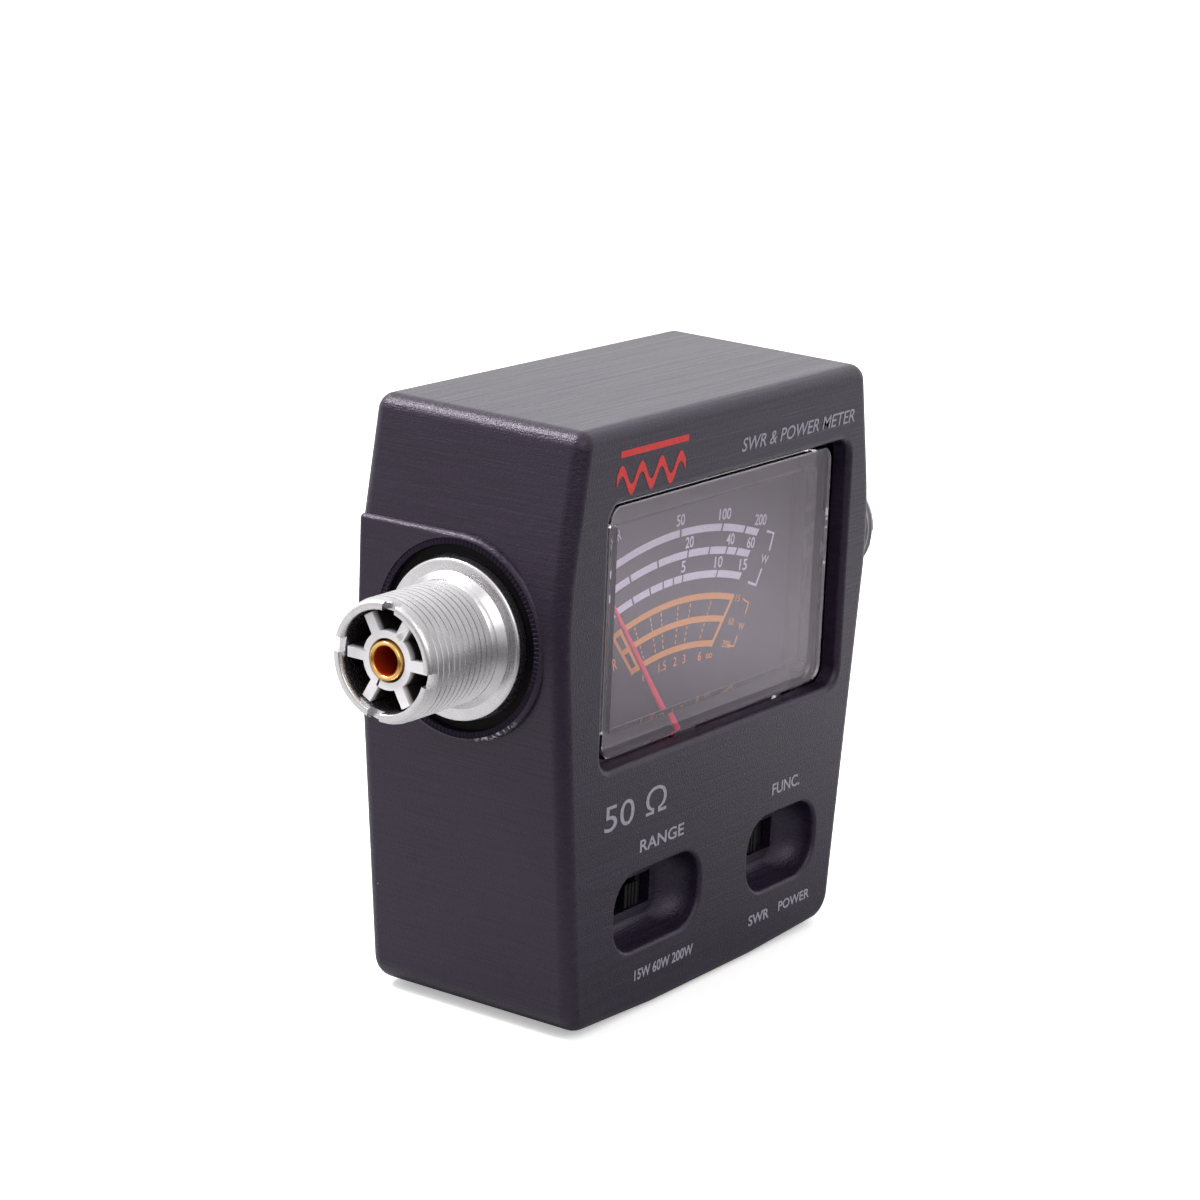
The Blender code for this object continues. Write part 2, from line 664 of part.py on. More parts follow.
def make_dial():
    """Printed plate whose two sides are bent forward along the cover's walls, and its screws."""
    outline = rounded_rectangle(WINDOW_X, 50.1, DIAL_HALF, 20.1, 1.0, 2)
    dial = prism("dial_plate", outline, DIAL_FRONT, DIAL_FRONT + DIAL_THICK, "Y", DIAL_PAINT)
    for side, sign in SIDES:
        edge = WINDOW_X + sign * DIAL_HALF
        near, far = sorted((edge, edge - sign * DIAL_THICK))
        high = (far, DIAL_FRONT + 0.3, FACE_HIGH - 0.8)
        join(dial, box("dial_side_" + side, (near, DIAL_SIDE_FRONT, FACE_LOW), high))
    cut(dial, box("dial_notch", (-1.2, -10.0, 28.0), (1.2, -6.0, PIVOT_Z + 1.2)))
    profile = [(0, 9.3), (1.1, 9.2), (1.4, 8.8), (0.6, 8.8), (0.6, 5.9), (0, 5.8)]
    for side, sign in SIDES:
        origin = (WINDOW_X + sign * DIAL_SCREW_REACH, 0, DIAL_SCREW_Z)
        cut(dial, cylinder(f"dial_hole_{side}", "+Y", origin, 0.9, -10.0, -6.0, sides=12))
        turned("dial_screw_" + side, "-Y", origin, profile, STEEL, 12)


def make_meter_base():
    """Black moulded plate behind the dial, open below for the movement, with two dial posts."""
    outline = rounded_rectangle(WINDOW_X, COVER_MIDDLE_Z, COVER_HALF - 0.2, COVER_HALF_HIGH - 0.2, 1.8, 3)
    base = prism("meter_base", outline, BASE_FRONT, BASE_BACK, "Y", BLACK_PLASTIC)
    cut(base, cylinder("movement_hole", "+Y", (0, 0, PIVOT_Z), 9.3, -8.0, -5.0, sides=32))
    cut(base, box("movement_notch", (-9.25, -8.0, 20.0), (9.25, -5.0, PIVOT_Z - 0.5)))
    for side, sign in SIDES:
        origin = (WINDOW_X + sign * DIAL_SCREW_REACH, 0, DIAL_SCREW_Z)
        join(base, cylinder("dial_post_" + side, "+Y", origin, 1.8, -7.7, -6.5, sides=16))
        cut(base, cylinder("dial_post_hole_" + side, "+Y", origin, 0.9, -9.0, -5.0, sides=12))
        origin = (sign * MOVEMENT_SCREW_X, 0, PIVOT_Z)
        cut(base, cylinder("movement_hole_" + side, "+Y", origin, 1.1, -8.0, -5.0, sides=12))


def make_magnet_circuit():
    """Yoke ring with two ears, the round core magnet inside it, and the ears' screws."""
    origin = (0, 0, PIVOT_Z)
    yoke = ring("magnet_yoke", "+Y", origin, YOKE_R, YOKE_BORE_R, -5.2, 3.0, STEEL, 32)
    for side, sign in SIDES:
        ends = sorted((sign * 8.0, sign * 13.2))
        join(yoke, box("ear_" + side, (ends[0], -5.2, PIVOT_Z - 2.2), (ends[1], -4.2, PIVOT_Z + 2.2)))
        ear = (sign * MOVEMENT_SCREW_X, 0, PIVOT_Z)
        cut(yoke, cylinder("ear_hole_" + side, "+Y", ear, 1.1, -6.0, -3.0, sides=12))
        profile = [(0, -2.8), (1.2, -2.9), (1.6, -3.4), (1.6, -3.9), (0.8, -3.9), (0.8, -6.9), (0, -7.0)]
        turned("movement_screw_" + side, "+Y", ear, profile, STEEL, 12)
    core = cylinder("core_magnet", "+Y", origin, CORE_R, -4.8, 2.6, MAGNET, 32)
    reach = YOKE_BORE_R - 0.5
    join(core, box("core_tab", (-1.6, -3.8, PIVOT_Z - reach), (1.6, 1.6, PIVOT_Z + reach)))


def make_bridges():
    """Front and rear jewel carriers on their posts."""
    front = box("front_bridge", (-2.0, -11.5, 23.4), (2.0, -10.9, PIVOT_Z + 2.4), ALUMINIUM)
    join(front, box("bridge_bar", (-13.6, -11.5, 23.2), (13.6, -10.9, 25.8)))
    for side, x in (("left", -12.0), ("right", 12.0)):
        join(front, cylinder("bridge_post_" + side, "+Y", (x, 0, 24.5), 1.2, -11.2, -7.3, sides=12))
    cut(front, cylinder("front_jewel_hole", "+Y", (0, 0, PIVOT_Z), 1.5, -12.0, -10.0, sides=16))
    rear = box("rear_bridge", (-2.2, 5.4, PIVOT_Z - 9.2), (2.2, 6.2, PIVOT_Z + 9.2), ALUMINIUM)
    for side, z in (("low", PIVOT_Z - 8.05), ("high", PIVOT_Z + 8.05)):
        join(rear, cylinder("rear_post_" + side, "+Y", (0, 0, z), 0.75, 3.3, 5.8, sides=12))
    cut(rear, cylinder("rear_jewel_hole", "+Y", (0, 0, PIVOT_Z), 1.5, 5.0, 7.0, sides=16))
    cup = [(0, 0.6), (1.2, 0.6), (1.2, 0.0), (0.75, 0.0), (0.75, 0.4), (0, 0.4)]
    turned("front_jewel", "-Y", (0, -10.9, PIVOT_Z), cup, RUBY, 16)
    turned("rear_jewel", "+Y", (0, 5.4, PIVOT_Z), cup, RUBY, 16)


def moving_frame():
    """Rest angle about the needle's axis; a moving piece is modelled with the needle upright."""
    return at(0, 0, PIVOT_Z) @ Matrix.Rotation(REST_ANGLE, 4, "Y")


def swing(obj):
    """Turns a piece modelled about the origin to the needle's rest angle, at the pivot."""
    obj.matrix_world = moving_frame() @ obj.matrix_world
    return obj


def make_moving_coil():
    coil = swing(box("moving_coil", (-6.8, -6.2, -1.4), (6.8, 4.0, 1.4), COPPER))
    cut(coil, swing(box("coil_hollow", (-5.6, -5.2, -3.0), (5.6, 3.0, 3.0))))
    front = [(0, 10.95), (0.15, 10.9), (0.5, 10.5), (0.5, 6.5), (0, 6.5)]
    swing(turned("front_pivot", "-Y", (0, 0, 0), front, STEEL, 12))
    rear = [(0, 5.5), (0.15, 5.45), (0.5, 5.05), (0.5, 4.3), (0, 4.3)]
    swing(turned("rear_pivot", "+Y", (0, 0, 0), rear, STEEL, 12))
    make_needle()
    swing(prism("front_hairspring", spiral_outline(), -7.65, -7.25, "Y", BRASS))
    swing(prism("rear_hairspring", spiral_outline(), 4.55, 4.95, "Y", BRASS))


def make_needle():
    """Thin tapered arm on a hub, with a short tail that carries the balance weight."""
    low, high = NEEDLE_Y - 0.25, NEEDLE_Y + 0.25
    outline = [(-0.55, -4.9), (0.55, -4.9), (0.62, 0), (0.5, 12.0), (0.28, NEEDLE_LENGTH)]
    outline += [(-x, z) for x, z in reversed(outline[2:])]
    needle = swing(prism("pointer", outline, low, high, "Y", RED_PAINT))
    join(needle, cylinder("needle_hub", "+Y", (0, 0, PIVOT_Z), 1.7, low, high, sides=20))
    cut(needle, cylinder("needle_bore", "+Y", (0, 0, PIVOT_Z), 0.8, low - 1, high + 1, sides=16))
    start, end = NEEDLE_Y + 0.55, NEEDLE_Y + 1.3
    weight = cylinder("counterweight", "+Y", (0, 0, -4.1), 0.9, start, end, BRASS, sides=16)
    weight.data.transform(weight.matrix_world)
    weight.matrix_world = moving_frame()


def spiral_outline(inner=1.1, turns=2.5, pitch=0.95, thick=0.22, steps=14):
    """Both edges of a flat spiral strip, out along one side and back along the other."""
    count = int(turns * steps)
    outside = []
    inside = []
    for step in range(count + 1):
        angle = 2 * math.pi * step / steps
        radius = inner + pitch * step / steps
        for edge, half in ((outside, thick / 2), (inside, -thick / 2)):
            edge.append(((radius + half) * math.cos(angle), (radius + half) * math.sin(angle)))
    return outside + inside[::-1]


def make_movement():
    """The whole movement, built in its own frame and then set back behind the cover."""
    others = set(bpy.data.objects)
    make_dial()
    make_meter_base()
    make_magnet_circuit()
    make_bridges()
    make_moving_coil()
    for obj in set(bpy.data.objects) - others:
        obj.matrix_world = at(0, MOVEMENT_BACK, 0) @ obj.matrix_world


def make_coupler():
    """The through line between the sockets, its open channel and the pick-up board."""
    origin = (0, SOCKET_Y, SOCKET_Z)
    cylinder("line_conductor", "+X", origin, LINE_R, -LINE_END, LINE_END, BRASS, sides=20)
    low_z, high_z = SOCKET_Z - 7.1, SOCKET_Z + 7.1
    half, front = CHANNEL_HALF, CHANNEL_FRONT
    channel = box("coupler_channel", (-half, front, low_z), (half, 7.2, high_z), STEEL)
    cut(channel, box("channel_inside", (1 - half, front + 1, low_z + 1), (half - 1, 9.0, high_z - 1)))
    cut(channel, cylinder("channel_end_holes", "+X", origin, 3.2, -30.0, 30.0, sides=20))
    box("pickup_board", (-24.0, 4.6, low_z + 1.5), (24.0, 5.6, high_z - 1.5), BOARD)
    for side, x in (("left", -16.0), ("right", 16.0)):
        diode = (0, 6.8, SOCKET_Z - 3.0)
        cylinder("detector_diode_" + side, "+X", diode, 0.9, x - 2.0, x + 2.0, CERAMIC, sides=12)
        resistor = (0, 7.0, SOCKET_Z + 2.8)
        cylinder("termination_resistor_" + side, "+X", resistor, 1.1, x - 3.0, x + 3.0, CERAMIC, sides=12)


def make_board_and_switches():
    board = box("circuit_board", (-27.6, BOARD_FRONT, 9.6), (26.4, BOARD_BACK, 20.8), BOARD)
    for index, (x, z) in enumerate(BOARD_SCREW_PLACES, 1):
        cut(board, cylinder(f"board_hole_{index}", "+Y", (x, 0, z), 1.15, -5.0, -2.0, sides=12))
        profile = [(0, -1.3), (1.3, -1.4), (1.8, -1.9), (1.8, -2.4), (0.85, -2.4), (0.85, -8.6), (0, -8.8)]
        turned(f"board_screw_{index}", "+Y", (x, 0, z), profile, STEEL, 12)
    for index, x in enumerate((-18.2, -10.2, 11.0, 19.0), 1):
        trimmer = box(f"trimmer_{index}", (x - 2.9, -2.4, 11.6), (x + 2.9, 0.4, 17.4), CERAMIC)
        join(trimmer, cylinder(f"rotor_{index}", "+Y", (x, 0, 14.5), 2.0, 0.0, 1.0, sides=16))
        cut(trimmer, box(f"rotor_slot_{index}", (x - 1.5, 0.6, 14.2), (x + 1.5, 2.0, 14.8)))
    make_switch("range", RECESSES["range"][0], -RANGE_STEP, RANGE_STEP, 0.0)
    make_switch("function", RECESSES["function"][0], 0.0, FUNCTION_TRAVEL, -FUNCTION_TRAVEL / 2)


def make_switch(name, middle_x, low_travel, high_travel, knob_shift):
    """A slide switch behind its slot, with the knob in a pocket as long as its travel."""
    front = RECESS_BACK + GAP
    low = (middle_x - 6.4, front, RECESS_Z - 2.8)
    body = box(name + "_switch_body", low, (middle_x + 6.4, BOARD_FRONT - GAP, RECESS_Z + 2.8), STEEL)
    knob_x = middle_x + knob_shift
    low_x = knob_x + low_travel - KNOB_HALF - GAP
    high_x = knob_x + high_travel + KNOB_HALF + GAP
    pocket_half = KNOB_HALF_HIGH + GAP
    low = (low_x, front - 1.0, RECESS_Z - pocket_half)
    cut(body, box(name + "_pocket", low, (high_x, front + 2.6, RECESS_Z + pocket_half)))
    low = (knob_x - KNOB_HALF, RECESS_FLOOR - KNOB_PROUD, RECESS_Z - KNOB_HALF_HIGH)
    high = (knob_x + KNOB_HALF, front + 2.3, RECESS_Z + KNOB_HALF_HIGH)
    round_edges(box(name + "_switch_knob", low, high, BLACK_PLASTIC), 0.25, 2)


def make_wires():
    routes = {
        "forward_wire": [(-21.0, 6.3, 48.4), (-21.2, 8.6, 46.0), (-21.6, 8.4, 40.0), (-22.2, 4.6, 30.0),
                         (-22.4, -0.4, 22.8), (-22.4, -2.1, 19.4)],
        "reflected_wire": [(21.0, 6.3, 48.4), (21.0, 8.6, 46.0), (20.8, 8.4, 40.0), (20.6, 4.6, 30.0),
                           (20.4, -0.4, 22.8), (20.4, -2.1, 19.4)],
        "meter_lead_negative": [(-3.0, 4.9, 24.1), (-3.4, 4.9, 22.1), (-4.0, 1.6, 20.7), (-4.0, -2.1, 19.4)],
        "meter_lead_positive": [(3.0, 4.9, 24.1), (3.4, 4.9, 22.1), (4.0, 1.6, 20.7), (4.0, -2.1, 19.4)],
    }
    for name, points in routes.items():
        wire(name, points, 0.45, WIRE_SKIN)


make_front_housing()
make_rear_cover()
make_socket("left", "-X")
make_socket("right", "+X")
make_meter_cover()
make_movement()
make_coupler()
make_board_and_switches()
make_wires()
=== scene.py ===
"""Looks for the SWR and power meter: visible meshes, materials, light and camera on its CAD frame."""

import math

import bmesh
import bpy
from mathutils import Matrix, Vector


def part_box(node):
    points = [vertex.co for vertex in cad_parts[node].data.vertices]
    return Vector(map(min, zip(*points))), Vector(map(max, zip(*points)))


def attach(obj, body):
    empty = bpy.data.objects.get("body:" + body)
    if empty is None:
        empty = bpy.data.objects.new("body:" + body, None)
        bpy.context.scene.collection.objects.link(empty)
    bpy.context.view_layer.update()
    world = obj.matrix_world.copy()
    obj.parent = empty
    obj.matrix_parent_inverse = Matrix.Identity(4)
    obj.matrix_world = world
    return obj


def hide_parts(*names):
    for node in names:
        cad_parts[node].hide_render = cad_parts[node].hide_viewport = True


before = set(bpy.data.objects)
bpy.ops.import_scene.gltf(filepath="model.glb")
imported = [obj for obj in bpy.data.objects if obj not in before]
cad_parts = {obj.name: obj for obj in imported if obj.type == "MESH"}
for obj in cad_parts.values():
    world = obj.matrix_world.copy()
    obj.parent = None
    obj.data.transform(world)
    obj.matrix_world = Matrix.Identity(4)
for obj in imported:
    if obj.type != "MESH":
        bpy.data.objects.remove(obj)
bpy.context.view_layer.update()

MM = 0.001


def box_mm(node):
    """A CAD node's lowest and highest corner in millimetres."""
    return [[round(value / MM, 3) for value in corner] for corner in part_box(node)]


def centre_mm(node, axis):
    low, high = box_mm(node)
    return round((low[axis] + high[axis]) / 2, 3)


def half_mm(node, axis):
    low, high = box_mm(node)
    return round((high[axis] - low[axis]) / 2, 3)


# Case, in millimetres like everything below
CASE_FRONT, CASE_BACK = (corner[1] for corner in box_mm("front_housing"))
CASE_WALL, CASE_SIDE_WALL, CASE_FRONT_INNER = 2.2, 3.2, -13.8
CASE_EDGE = 2.0
FRONT_SCALE = 0.9925
REAR_LESS, REAR_SIDE_LESS = 2.5, 3.5
REAR_FRONT, REAR_BACK = (corner[1] for corner in box_mm("rear_cover"))
BOSS_X = box_mm("front_housing")[1][0]
BOSS_R, BOSS_LOW, BOSS_EDGE = 13.4, 43.0, 1.0

# Meter opening and finger recesses: (middle x, half width, half width of the slot in the floor)
WINDOW = {"x": centre_mm("meter_cover", 0), "z": 52.4, "half_x": 28.0, "half_z": 17.3, "round": 2.5}
WINDOW_LIP, WINDOW_DEEP_Y = 0.9, -12.8
RECESSES = {"range": (-12.5, 9.7, 4.8), "function": (17.2, 8.4, 4.6)}
RECESS_Z = centre_mm("range_switch_knob", 2)
RECESS_HALF_Z, RECESS_FLOOR, RECESS_LIP = 5.3, -11.6, 0.6
RECESS_ROUND, RECESS_SHRINK_X, RECESS_SHRINK_Z, RECESS_ROUND_LESS = 4.4, 4.0, 1.9, 2.0
RECESS_WALL, RECESS_BLOCK = 1.3, (-14.4, -10.3)
SLOT_HALF_Z, SLOT_FRONT, SLOT_BACK = 2.2, -12.6, -9.3

# Sockets
SOCKET_Y, SOCKET_Z = centre_mm("left_contact", 1), centre_mm("left_contact", 2)
SOCKET_TIP = box_mm("right_connector_body")[1][0]
THREAD_R, THREAD_PITCH, THREAD_DEEP = 7.94, 1.058, 0.60
LEAD_R, LEAD_LONG, RUNOUT_LONG = 7.62, 0.8, 0.6
BORE_R, FLANGE_R, FLANGE_BACK, FLANGE_FACE = 6.5, 10.4, 35.7, 37.4
THREAD_LOW, THREAD_HIGH = FLANGE_FACE + 0.9, SOCKET_TIP - 0.35
NOTCH_DEEP, NOTCH_HALF, NOTCH_TURN, NOTCH_IN, NOTCH_OUT = 1.1, 0.95, 8, 5.2, 9.5
FLANGE_NOTCH_START, FLANGE_NOTCH_SWEEP = -112, 67
HUB_R, HUB_BORE, SPOKE_HALF, SPOKE_LONG, POCKET_DEEP = 3.75, 2.8, 0.68, 6.18, 10.0
RING_IN, RING_STEP, RING_OUT, RING_RIBS = 10.6, 11.9, 12.75, 130
# (radius, from, to, sides): hollow for the ribbed ring, hole for the barrel, room for the nut
SOCKET_CUTS = (
    (RING_OUT + 0.03, BOSS_X - 1.0, 52.0, 96),
    (THREAD_R + 0.3, 28.0, 52.0, 64),
    (12.0, 26.0, 33.2, 64),
)
SOCKET_ORIGIN = (0, SOCKET_Y, SOCKET_Z)

# Meter
PIVOT_Z = 31.8
DIAL_THICK = 0.5
DIAL_Y = round(box_mm("dial_plate")[1][1] - DIAL_THICK, 3)
DIAL_Z, DIAL_HALF_Z = centre_mm("dial_plate", 2), half_mm("dial_plate", 2)
DIAL_HALF = half_mm("dial_plate", 0)
DIAL_SIDE_FRONT, DIAL_SIDE_LOW, DIAL_SIDE_HIGH = box_mm("dial_plate")[0][1], 36.4, 68.4
DIAL_PRINT_Y = DIAL_Y - 0.01
PRINT_THICK = 0.03
ARC_X, ARC_Z = 0.2, 0.8
SCALE_END = 38.5
REST_ANGLE = math.radians(-37.0)
NEEDLE_Y, NEEDLE_BORE = -9.4, 0.8
FACE = {"x": 0.45, "z": 52.75, "half_x": 26.25, "half_z": 16.65, "round": 2.4}
FACE_BEVEL, FACE_BEVEL_DEEP, FACE_RIM = 0.7, 0.8, 3.0
FACE_FRONT, COVER_BACK = (corner[1] for corner in box_mm("meter_cover"))
FACE_BACK, LID_FRONT, LID_BACK, COVER_WALL = -13.9, -13.5, -12.3, 1.2
COVER_Z, COVER_HALF_Z = centre_mm("meter_cover", 2), half_mm("meter_cover", 2)
COVER_HALF = half_mm("meter_cover", 0)


# ---- mesh helpers

def link(name, mesh):
    obj = bpy.data.objects.new(name, mesh)
    bpy.context.scene.collection.objects.link(obj)
    return obj


def shape_to_object(name, shape):
    bmesh.ops.recalc_face_normals(shape, faces=shape.faces)
    mesh = bpy.data.meshes.new(name)
    shape.to_mesh(mesh)
    shape.free()
    return link(name, mesh)


def loft(name, sections):
    """Closed solid through [(y, [(x, z), ...]), ...] in millimetres."""
    shape = bmesh.new()
    loops = [[shape.verts.new((x * MM, y * MM, z * MM)) for x, z in outline] for y, outline in sections]
    count = len(loops[0])
    for near, far in zip(loops, loops[1:]):
        for i in range(count):
            j = (i + 1) % count
            shape.faces.new((near[i], near[j], far[j], far[i]))
    shape.faces.new(loops[0])
    shape.faces.new(loops[-1])
    return shape_to_object(name, shape)


def prism_x(name, outline, low, high):
    """Closed solid with a (y, z) outline between two values of X."""
    shape = bmesh.new()
    loops = [[shape.verts.new((x * MM, y * MM, z * MM)) for y, z in outline] for x in (low, high)]
    count = len(outline)
    for i in range(count):
        j = (i + 1) % count
        shape.faces.new((loops[0][i], loops[0][j], loops[1][j], loops[1][i]))
    shape.faces.new(loops[0])
    shape.faces.new(loops[1])
    return shape_to_object(name, shape)


def box(name, low, high):
    shape = bmesh.new()
    bmesh.ops.create_cube(shape, size=1.0)
    for v in shape.verts:
        v.co = [(a + (b - a) * (c + 0.5)) * MM for a, b, c in zip(low, high, v.co)]
    return shape_to_object(name, shape)


AXES = {
    "+X": Matrix.Rotation(math.pi / 2, 4, "Y"),
    "-X": Matrix.Rotation(-math.pi / 2, 4, "Y"),
    "-Y": Matrix.Rotation(math.pi / 2, 4, "X"),
    "+Y": Matrix.Rotation(-math.pi / 2, 4, "X"),
}


def lathe(name, axis, origin, profile, count, shape_of=None, angles=None, spiral=False):
    """Turns a closed (radius, height) profile about an axis; shape_of may change each point by its angle.
    A profile that starts and ends on the axis gets closed there; a spiral one meets itself after a turn."""
    angles = angles or [2 * math.pi * i / count for i in range(count + 1 if spiral else count)]
    shape = bmesh.new()
    place = Matrix.Translation(Vector(origin) * MM) @ AXES[axis]
    closed = profile[0][0] > 0 or profile[-1][0] > 0
    rings = []
    for angle in angles:
        ring = []
        for radius, height in profile:
            r, h = shape_of(radius, height, angle) if shape_of else (radius, height)
            point = Vector((r * math.cos(angle) * MM, r * math.sin(angle) * MM, h * MM))
            ring.append(shape.verts.new(place @ point))
        rings.append(ring)
    total = len(profile)
    for ring, other in zip(rings, rings[1:] if spiral else rings[1:] + rings[:1]):
        for j in range(total if closed else total - 1):
            k = (j + 1) % total
            shape.faces.new((ring[j], ring[k], other[k], other[j]))
    bmesh.ops.remove_doubles(shape, verts=shape.verts, dist=2e-7)
    return shape_to_object(name, shape)


def disc(axis, origin, radius, low, high, count=64):
    return lathe("tool", axis, origin, [(0, high), (radius, high), (radius, low), (0, low)], count)


def boolean(target, tool, operation="DIFFERENCE"):
    change = target.modifiers.new("cut", "BOOLEAN")
    change.operation = operation
    change.object = tool
    change.solver = "EXACT"
    tool.hide_render = True
    TOOLS.append(tool)


def bevel(obj, width, segments=3, angle=40):
    change = obj.modifiers.new("round", "BEVEL")
    change.width = width * MM
    change.segments = segments
    change.limit_method = "ANGLE"
    change.angle_limit = math.radians(angle)
    change.harden_normals = False


TOOLS = []


def settle(obj, smooth_angle=35, weighted=True):
    """Applies the modifiers, removes the tools, shades smooth and weights the normals by face size."""
    bpy.context.view_layer.update()
    graph = bpy.context.evaluated_depsgraph_get()
    mesh = bpy.data.meshes.new_from_object(obj.evaluated_get(graph))
    obj.modifiers.clear()
    obj.data = mesh
    while TOOLS:
        bpy.data.objects.remove(TOOLS.pop())
    shape = bmesh.new()
    shape.from_mesh(mesh)
    bmesh.ops.remove_doubles(shape, verts=shape.verts, dist=1e-6)
    bmesh.ops.dissolve_degenerate(shape, edges=shape.edges, dist=1e-6)
    shape.to_mesh(mesh)
    shape.free()
    mesh.shade_smooth()
    mesh.set_sharp_from_angle(angle=math.radians(smooth_angle))
    if weighted:
        change = obj.modifiers.new("normals", "WEIGHTED_NORMAL")
        change.keep_sharp = True
        change.weight = 90


def finish(obj, body, material, slot=None, *nodes):
    obj.data.materials.clear()
    obj.data.materials.append(material)
    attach(obj, body)
    if nodes:
        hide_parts(*nodes)
    return obj


# ---- outlines

def rounded_outline(corners, steps):
    """Replaces each corner (x, z, radius, steps) by an arc that is tangent to both of its sides."""
    outline = []
    for index, corner_data in enumerate(corners):
        x, z, radius = corner_data[:3]
        parts = corner_data[3] if len(corner_data) > 3 else steps
        corner = Vector((x, z))
        before = (Vector(corners[index - 1][:2]) - corner).normalized()
        after = (Vector(corners[(index + 1) % len(corners)][:2]) - corner).normalized()
        half = before.angle(after) / 2
        middle = corner + (before + after).normalized() * radius / math.sin(half)
        first = corner + before * radius / math.tan(half) - middle
        last = corner + after * radius / math.tan(half) - middle
        start = math.atan2(first.y, first.x)
        sweep = math.remainder(math.atan2(last.y, last.x) - start, 2 * math.pi)
        for step in range(parts + 1):
            angle = start + sweep * step / parts
            outline.append((middle.x + radius * math.cos(angle), middle.y + radius * math.sin(angle)))
    return outline


def rounded_rectangle(x, z, half_x, half_z, radius, steps=8):
    corners = [(x + a * half_x, z + b * half_z, radius) for a, b in ((-1, -1), (1, -1), (1, 1), (-1, 1))]
    return rounded_outline(corners, steps)


def inset(panel, less, smallest, steps):
    """A panel's rounded outline moved inwards, with corners no sharper than the smallest radius."""
    half_x, half_z = panel["half_x"] - less, panel["half_z"] - less
    corner = max(panel["round"] - less, smallest)
    return rounded_rectangle(panel["x"], panel["z"], half_x, half_z, corner, steps)


def case_outline(less, widest_less):
    """The case seen from the front: end of the flat foot, bottom corner, widest place and top corner."""
    right = [
        (12.0, less, 40.0, 8),
        (31.1 - less, 0.85 + less, 4.0 - less / 2, 8),
        (36.9 - widest_less, 57.6, 55.0, 14),
        (33.0 - less, 80.2 - less, 2.4 - less / 2, 8),
    ]
    return rounded_outline(right + [(-x, z, r, n) for x, z, r, n in reversed(right)], 8)


def boss_outline(radius, steps=72):
    """A boss seen along X: a half round front whose upper and lower sides run back through the case."""
    start = math.pi / 2
    stop = 2 * math.pi + math.asin((BOSS_LOW - SOCKET_Z) / BOSS_R)
    back = CASE_BACK - 0.6
    outline = [(back, SOCKET_Z + BOSS_R * math.sin(stop)), (back, SOCKET_Z + radius)]
    for step in range(steps + 1):
        angle = start + (stop - start) * step / steps
        outline.append((SOCKET_Y + radius * math.cos(angle), SOCKET_Z + radius * math.sin(angle)))
    return outline


def recess_sections(middle_x, half_x, lip_steps=4, bowl_steps=12):
    """A finger recess from the rim rounded into the face down to its flat floor."""
    def outline(wide, high, corner):
        return rounded_rectangle(middle_x, RECESS_Z, wide, high, corner, 12)

    past = 0.75
    sections = [(CASE_FRONT - 0.5, outline(half_x + past, RECESS_HALF_Z + past, 5.0))]
    for step in range(lip_steps + 1):
        t = math.radians(90 * step / lip_steps)
        grow = RECESS_LIP * (1 - math.sin(t))
        y = CASE_FRONT + RECESS_LIP * (1 - math.cos(t))
        sections.append((y, outline(half_x + grow, RECESS_HALF_Z + grow, RECESS_ROUND + grow)))
    depth = RECESS_FLOOR - CASE_FRONT - RECESS_LIP
    for step in range(1, bowl_steps + 1):
        t = math.radians(90 * step / bowl_steps)
        bow = 1 - math.cos(t)
        y = CASE_FRONT + RECESS_LIP + math.sin(t) * depth
        wide, high = half_x - RECESS_SHRINK_X * bow, RECESS_HALF_Z - RECESS_SHRINK_Z * bow
        sections.append((y, outline(wide, high, RECESS_ROUND - RECESS_ROUND_LESS * bow)))
    return sections


# ---- materials

